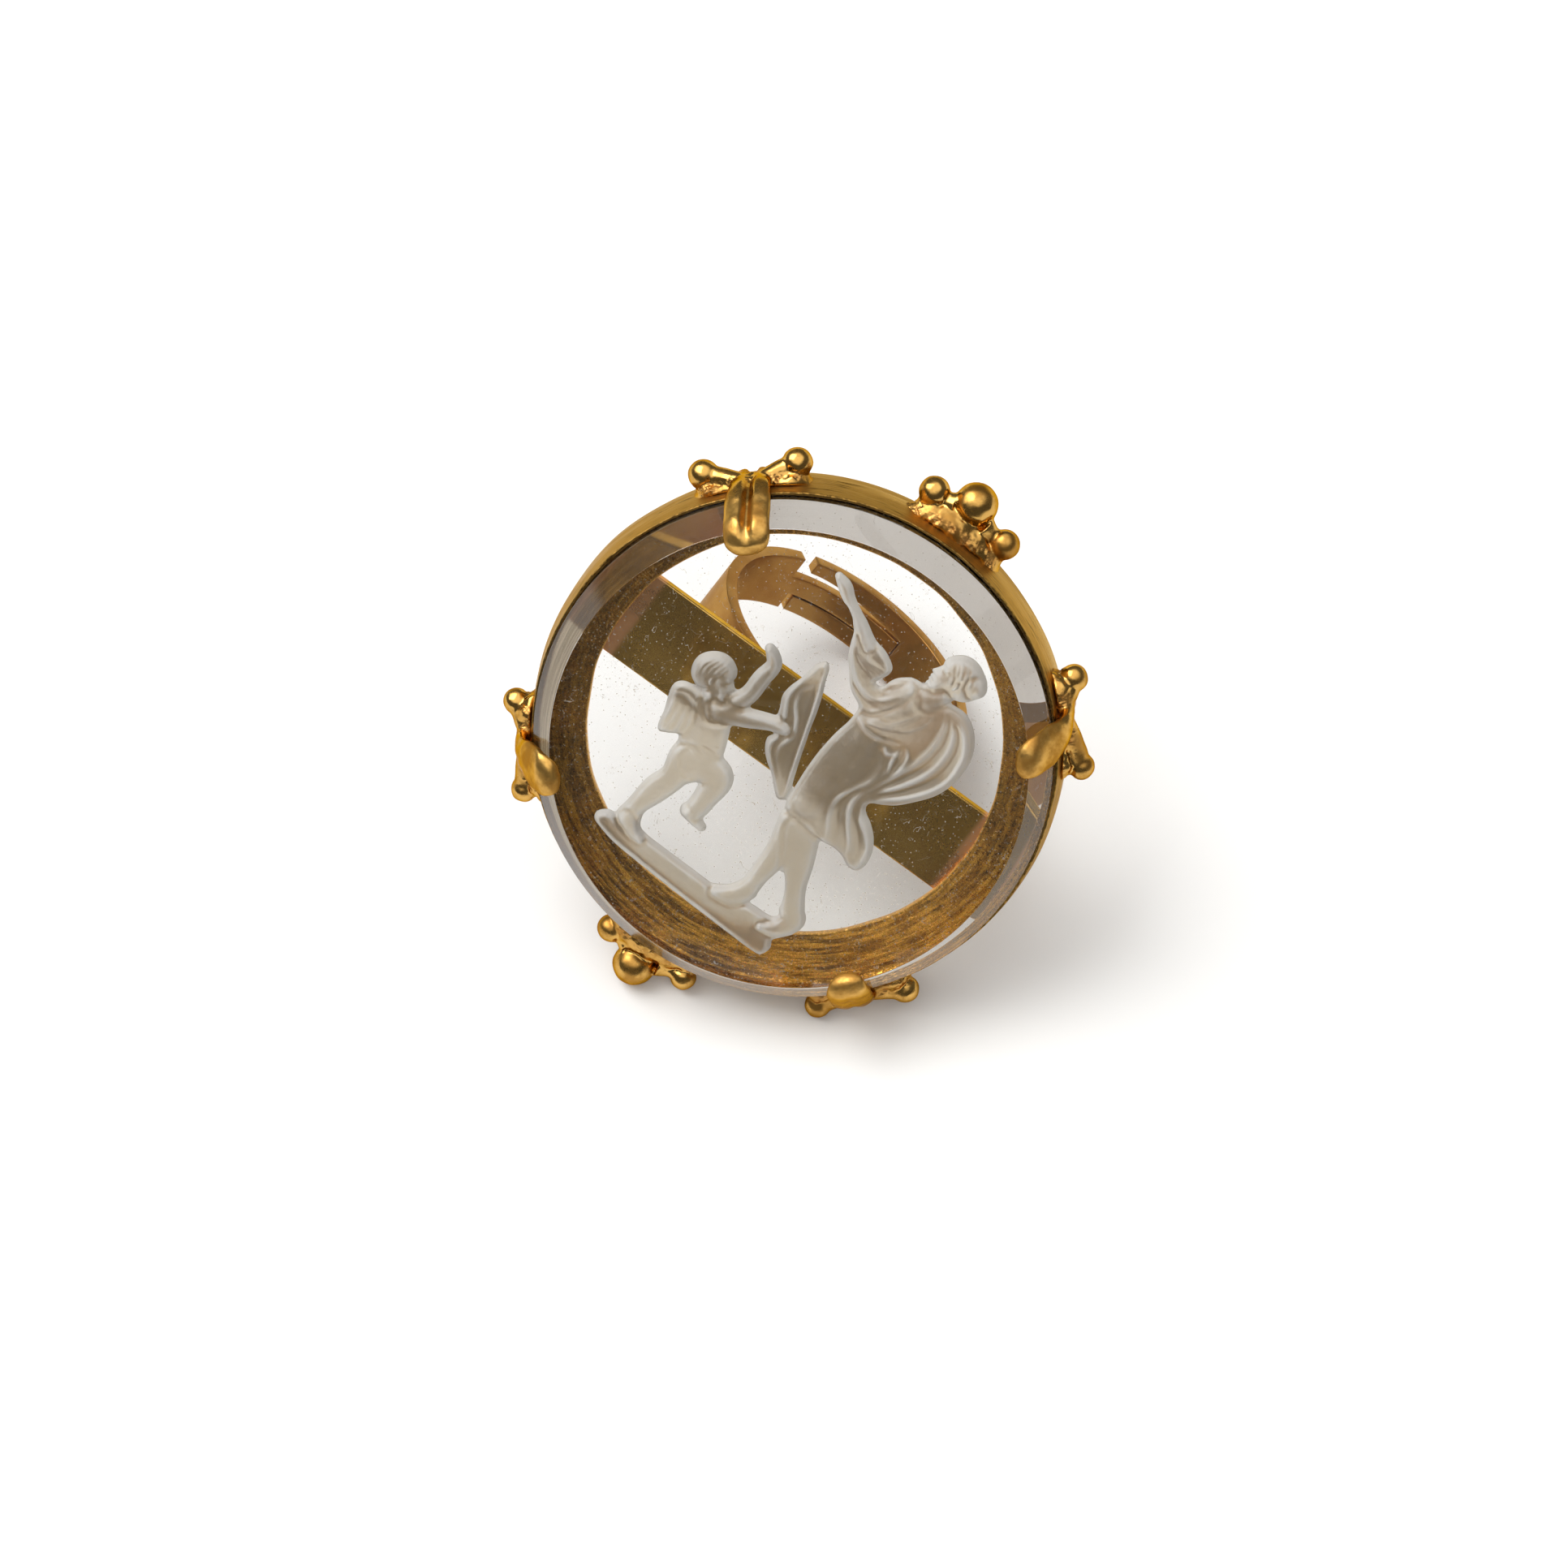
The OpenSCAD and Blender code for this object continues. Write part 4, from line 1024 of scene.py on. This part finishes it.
crease([(-5.0, -2.2), (-4.4, -2.35), (-3.9, -2.3)], -0.06, 0.15)

# Bow
lay([(-2.25, 6.2), (-1.85, 6.7), (-1.45, 6.4), (-1.15, 5.6), (-0.8, 4.8), (-0.42, 3.7), (-0.12, 2.6),
     (0.2, 1.6), (0.55, 0.5), (0.9, -0.5), (1.25, -1.5), (1.3, -2.1), (0.9, -2.35), (0.4, -2.0),
     (-0.3, -1.3), (-1.0, -0.8), (-1.6, -0.2), (-1.9, 0.5), (-1.6, 1.2), (-2.2, 2.0), (-2.45, 2.6),
     (-2.75, 3.3), (-2.7, 4.1), (-2.45, 5.0), (-2.35, 5.7)], 0.32, 0.25)
crease([(-1.6, 6.5), (-0.9, 4.6), (0.0, 1.9), (1.1, -1.9)], 0.22, 0.15)
crease([(-1.7, 5.9), (-1.15, 4.4), (-0.3, 1.9), (0.7, -1.3)], -0.16, 0.09)
crease([(-1.9, 6.4), (-2.4, 4.9), (-2.4, 3.5), (-1.9, 2.4), (-1.5, 1.4), (-1.5, 0.2), (-0.7, -0.8),
        (0.7, -2.1)], 0.24, 0.17)
crease([(-1.5, 5.2), (-2.0, 4.3), (-1.8, 3.4), (-1.1, 2.5), (-0.8, 1.5), (-0.95, 0.6), (-0.7, -0.2),
        (0.4, -1.4)], 0.2, 0.16)
lay([(-5.4, 0.1, 0.8), (-3.9, 0.62, 0.68), (-2.5, 1.3, 0.56), (-1.7, 1.6, 0.5), (-1.35, 1.65, 0.4)],
     0.85, furrow=0.1)
layHead((-6.85, 1.75), 1.48, 1, 16, 1.0)

# Woman: legs, dress and billowing cloak
lay([(2.6, -3.0, 1.0), (3.0, -4.8, 0.92), (2.95, -6.2, 0.74), (2.9, -7.5, 0.64), (2.85, -8.4, 0.72),
     (2.3, -9.2, 0.66), (1.4, -9.6, 0.4)], 0.7)
lay([(3.4, -3.2, 1.15), (4.3, -4.9, 1.0), (5.1, -6.5, 0.78), (5.9, -7.8, 0.8), (6.25, -8.3, 0.8),
     (5.7, -9.3, 0.6), (4.9, -9.7, 0.36)], 0.75)
lay([(1.5, 5.4), (1.45, 4.4), (1.25, 3.2), (1.15, 1.6), (1.2, 0.2), (1.35, -1.2), (1.6, -2.5),
     (2.6, -2.65), (3.6, -2.75), (4.6, -2.9), (5.6, -2.8), (6.3, -2.95), (6.9, -3.25), (7.5, -3.15),
     (7.75, -2.5), (7.6, -1.6), (7.1, -0.75), (6.4, -0.1), (5.7, 0.35), (5.6, 0.9), (6.3, 1.35),
     (7.0, 1.85), (7.7, 2.65), (8.4, 3.6), (8.8, 4.5), (9.0, 5.6), (8.95, 6.8), (8.6, 7.8), (8.0, 8.6),
     (7.3, 9.1), (6.6, 9.3), (5.6, 9.2), (4.4, 9.1), (3.4, 9.15), (2.8, 8.8), (2.3, 8.0), (2.0, 7.0),
     (1.7, 6.2)], 0.62, 0.8)
lay([(3.4, 7.6, 1.5), (2.9, 5.6, 1.2), (2.9, 4.4, 1.15), (3.0, 2.4, 1.5), (2.8, 0.4, 1.4),
     (2.7, -1.4, 1.15)], 0.95, furrow=0.0)
# The cloak's folds lie between its outer edge and her back
hem = np.array([(6.4, 8.7), (7.5, 8.3), (8.25, 7.4), (8.55, 6.3), (8.5, 5.1), (8.0, 3.9), (7.1, 2.7),
                (6.2, 1.9), (5.5, 1.3)])
spine = np.array([(5.9, 8.6), (5.9, 7.9), (5.9, 7.0), (5.8, 6.1), (5.6, 5.3), (5.4, 4.4), (5.2, 3.5),
                  (5.1, 2.7), (5.0, 1.6)])
crease(hem, 0.3, 0.2)
for share, size in ((0.22, -0.22), (0.40, 0.2), (0.58, -0.2), (0.76, 0.2)):
    crease(hem*(1 - share) + spine*share, size, 0.19)
crease([(5.0, 5.2), (5.0, 4.4), (5.2, 3.5), (5.1, 2.6)], 0.2, 0.15)
crease([(5.2, 5.4), (5.7, 4.9), (5.75, 4.1), (5.5, 3.3)], 0.2, 0.15)
crease([(5.3, 4.9), (5.35, 4.3), (5.35, 3.7)], -0.2, 0.16)
for turn in (0, 0.55, 1.1, 1.65):
    crease([(5.3 - 0.3*turn, 8.5), (5.2 - 0.5*turn, 7.3), (4.6 - 0.6*turn, 6.3), (3.6 - 0.6*turn, 5.75),
            (2.4, 5.4 - 0.05*turn)], 0.1, 0.14)
crease([(1.5, 5.2), (2.6, 4.9), (3.8, 5.0), (4.8, 5.4)], 0.12, 0.14)
crease([(4.0, 4.7), (4.5, 4.4), (4.9, 4.6)], 0.2, 0.16)
crease([(4.4, 3.9), (4.8, 3.2), (4.7, 2.2), (4.2, 1.2), (3.8, 0.2), (3.9, -0.9), (4.5, -2.0), (4.8, -2.8)],
        0.22, 0.2)
crease([(4.6, 1.8), (4.2, 0.7), (4.25, -0.4), (4.9, -1.6), (5.4, -2.7)], -0.16, 0.17)
crease([(5.1, 2.2), (4.7, 1.0), (4.8, 0.0), (5.4, -1.0), (6.1, -1.9), (6.3, -2.7)], 0.2, 0.18)
crease([(5.2, 0.6), (5.5, -0.3), (6.2, -1.1), (6.8, -2.0), (6.9, -2.8)], -0.16, 0.17)
crease([(5.3, 1.4), (5.6, 0.1), (6.5, -0.6), (7.2, -1.4), (7.4, -2.3), (7.3, -3.0)], 0.24, 0.22)
crease([(1.8, -2.5), (3.2, -2.5), (4.6, -2.7), (6.0, -2.65)], 0.12, 0.14)
lay([(4.9, 9.5, 0.8), (4.5, 8.7, 0.85)], 0.85, furrow=0.05)

# Her raised arm in its sleeve
lay([(-1.7, 10.3), (-1.1, 10.0), (-0.4, 9.65), (0.4, 9.55), (1.1, 9.25), (1.6, 8.85), (1.65, 8.4),
     (1.45, 7.9), (1.3, 7.5), (1.7, 7.45), (2.2, 7.9), (2.6, 8.5), (3.0, 9.0), (3.6, 8.6), (3.2, 7.2),
     (2.4, 6.0), (1.7, 5.5), (1.2, 5.75), (0.5, 6.1), (0.0, 6.55), (-0.5, 7.2), (-1.0, 7.8), (-1.35, 8.5),
     (-1.65, 9.3), (-2.0, 9.9)], 0.5, 0.4)
lay([(-4.45, 11.65, 0.26), (-3.8, 11.35, 0.44), (-3.2, 10.9, 0.4), (-2.6, 10.6, 0.32), (-1.6, 10.0, 0.38),
     (-0.4, 9.2, 0.42)], 0.62, furrow=0.08)
for offset in (0.0, 0.35, 0.7, 1.05):
    crease([(-1.1 + 0.5*offset, 9.6 - 0.2*offset), (-0.6 + 0.6*offset, 8.4 + 0.2*offset),
            (1.2 + 0.1*offset, 7.7 + 0.75*offset)], 0.12, 0.12)
crease([(-1.5, 9.2), (-0.8, 8.0), (0.3, 7.0), (1.6, 6.7), (2.4, 7.3), (3.2, 8.4)], 0.2, 0.2)
crease([(-0.9, 7.9), (0.1, 6.8), (1.5, 6.2), (2.6, 6.5)], -0.12, 0.14)
layHead((5.25, 10.75), 1.58, -1, 4, 1.05)
lay([(6.3, 11.2, 0.62), (6.5, 11.0, 0.6)], 1.0, furrow=0.15)
print("figures' heights laid")

# The space between her legs is cut out
hole = curve([(4.0, -6.05), (3.62, -6.7), (3.52, -7.6), (3.6, -8.4), (4.0, -8.9), (4.7, -8.85), (5.1, -8.4),
              (5.1, -7.8), (4.7, -6.9)], closed=True)
part = nearGrid(hole, 1.0)
depthInside[part] = np.minimum(depthInside[part], -insideOutline(gridX[part], gridY[part], hole))

# Frost and painted highlight: frost on steep slopes, and a painted highlight on what stands above its
# surroundings and along the outline
steep = np.hypot(*np.gradient(heights, relief["cell"]))
reach = relief["around"]
nearby = sum(np.roll(heights, shift, axis) for axis in (0, 1) for shift in (reach, -reach))/4
least, onSlope, crestHighlight = relief["frost"]
frost = np.clip(least + onSlope*steep + crestHighlight*(heights - nearby), 0, 1)
frost = np.maximum(frost, relief["frostRimLeast"]*smoothStep(depthInside, *relief["frostRim"]))

# The heights sink to the edge's height over a short way, and a faint grain is added
fromEdge = np.clip(depthInside/relief["rim"], 0, 1)
heights = relief["edge"]*(1 - fromEdge) + heights*fromEdge
grainSize, grainScale, grainSeed = relief["grain"]
grain = lumps(np.stack([gridX, gridY, 0*gridX], -1), grainScale, grainSeed)
heights = heights + grainSize*grain*np.clip(depthInside/relief["fillet"], 0, 1)

# Cells whose corners are inside on the whole are kept, and two that touch at a corner get one beside them
keep = (depthInside[:-1, :-1] + depthInside[1:, :-1] + depthInside[:-1, 1:] + depthInside[1:, 1:]) > 0
crossed = keep[:-1, :-1] & keep[1:, 1:] & ~keep[:-1, 1:] & ~keep[1:, :-1]
keep[:-1, 1:] |= crossed
crossed = ~keep[:-1, :-1] & ~keep[1:, 1:] & keep[:-1, 1:] & keep[1:, :-1]
keep[:-1, :-1] |= crossed
cellsAt = np.zeros(gridX.shape, int)
for di in (0, 1):
    for dj in (0, 1):
        cellsAt[di:len(xs) - 1 + di, dj:len(ys) - 1 + dj] += keep

# Points beside the edge move on to it, along the field's steepest way, by the field's value over its slope
atEdge = (cellsAt > 0) & (cellsAt < 4)
slopeX, slopeY = np.gradient(depthInside, relief["cell"])
move = np.clip(depthInside, -relief["cell"], relief["cell"])*atEdge
move = move/np.maximum(np.hypot(slopeX, slopeY), 0.5)**2
topZ = np.where(atEdge, relief["edge"], np.maximum(heights, relief["edge"]))
used = cellsAt > 0
top = np.stack([gridX - move*slopeX, gridY - move*slopeY, topZ], -1)[used]
bottom = top*np.array([1, 1, 0]) + np.array([0, 0, relief["under"]])

# Faces: the top's cells, the same turned over below, and a wall where a kept cell has no neighbour
number = np.cumsum(used.ravel()).reshape(used.shape) - 1
count = int(used.sum())
i, j = np.nonzero(keep)
cells = np.stack([number[i, j], number[i + 1, j], number[i + 1, j + 1], number[i, j + 1]], -1)
faces = [cells, cells[:, ::-1] + count]
padded = np.pad(keep, 1)
for di, dj, first, second in ((0, -1, (0, 0), (1, 0)), (1, 0, (1, 0), (1, 1)), (0, 1, (1, 1), (0, 1)),
                              (-1, 0, (0, 1), (0, 0))):
    i, j = np.nonzero(keep & ~padded[1 + di:padded.shape[0] - 1 + di, 1 + dj:padded.shape[1] - 1 + dj])
    a, b = number[i + first[0], j + first[1]], number[i + second[0], j + second[1]]
    faces.append(np.stack([b, a, a + count, b + count], -1))
figurePatch = outward(np.concatenate([top, bottom]), np.concatenate(faces))
# The attribute carries the frost and the painted highlight
frost = np.append(frost[used], np.full(count, relief["frostUnder"]))
makePiece("cameoFigures", [figurePatch], frostedCrystal, "cameo_figures", "cameo_figures", frost=frost)
print("figures made,", len(figurePatch[1]), "faces")

# Studio: a pale floor, a big soft lamp above and to the left, a bright ceiling, and a dim room round it
studio = dict(floorSize=6.0, floorColour=(0.86, 0.86, 0.855), floorRough=0.9, floorSpecular=0.1, glow=0.08,
              roomSides=(-0.6, 0.6, 0.10, 0.16), ceilingFrom=0.60, ceilingTo=0.88, ceiling=1.5,
              tint=(1.0, 0.985, 0.96, 1.0))
bpy.ops.mesh.primitive_plane_add(size=studio["floorSize"], location=(0, 0, floorHeight))
floor = bpy.context.object
floor.name = "floor"
floorMaterial, tree, shader = newMaterial("paleFloor")
feed(shader, {"Base Color": (*studio["floorColour"], 1.0), "Roughness": studio["floorRough"],
              "Specular IOR Level": studio["floorSpecular"], "Emission Color": (1.0, 1.0, 1.0, 1.0),
              "Emission Strength": studio["glow"]})
floor.data.materials.append(floorMaterial)

softbox = dict(size=1.0, power=13.5, azimuth=-74, elevation=56, distance=1.3)
light = bpy.data.lights.new("softbox", "AREA")
light.shape = "SQUARE"
light.size = softbox["size"]
light.energy = softbox["power"]
holder = bpy.data.objects.new("softbox", light)
bpy.context.scene.collection.objects.link(holder)
az, el = np.radians(softbox["azimuth"]), np.radians(softbox["elevation"])
way = Vector((np.sin(az)*np.cos(el), np.cos(az)*np.cos(el), np.sin(el)))
holder.location = Vector(ringCentre) + way*softbox["distance"]
holder.rotation_euler = way.to_track_quat("Z", "Y").to_euler()

# Brightness by direction: a ceiling high above, and a dim room round it, darker in front
world = bpy.data.worlds.new("studio")
bpy.context.scene.world = world
world.use_nodes = True
tree = world.node_tree
x, y, z = splitCoords(tree, addNode(tree, "ShaderNodeTexCoord").outputs["Generated"])
room = ramp(tree, y, *studio["roomSides"])
ceiling = ramp(tree, z, studio["ceilingFrom"], studio["ceilingTo"])
room = times(tree, room, maths(tree, "SUBTRACT", 1.0, ceiling))
level = plus(tree, times(tree, ceiling, studio["ceiling"]), room)
feed(tree.nodes["Background"], {"Strength": level, "Color": studio["tint"]})

# Camera at the photograph's angle. The crystal sits a little right of the picture's centre and above it
shot = dict(azimuth=11.14, elevation=60.17, roll=-3.36, distance=480, lens=178.9, offRight=0.244, offUp=1.426)
az, el, roll = (np.radians(shot[k]) for k in ("azimuth", "elevation", "roll"))
backward = Vector((np.sin(az)*np.cos(el), -np.cos(az)*np.cos(el), np.sin(el)))
flatRight = Vector((0, 0, 1)).cross(backward).normalized()
flatUp = backward.cross(flatRight)
right = flatRight*np.cos(roll) + flatUp*np.sin(roll)
upward = flatUp*np.cos(roll) - flatRight*np.sin(roll)
spot = Vector(ringCentre) - (right*shot["offRight"] + upward*shot["offUp"])*mm + backward*shot["distance"]*mm
camera = bpy.data.objects.new("camera", bpy.data.cameras.new("camera"))
bpy.context.scene.collection.objects.link(camera)
camera.data.lens = shot["lens"]
camera.data.sensor_width = 36
camera.data.clip_start = 0.01
camera.data.clip_end = 20
camera.matrix_world = Matrix((right, upward, backward)).transposed().to_4x4()
camera.matrix_world.translation = spot
bpy.context.scene.camera = camera
bpy.context.scene.view_settings.view_transform = "Standard"
print("studio and camera set")
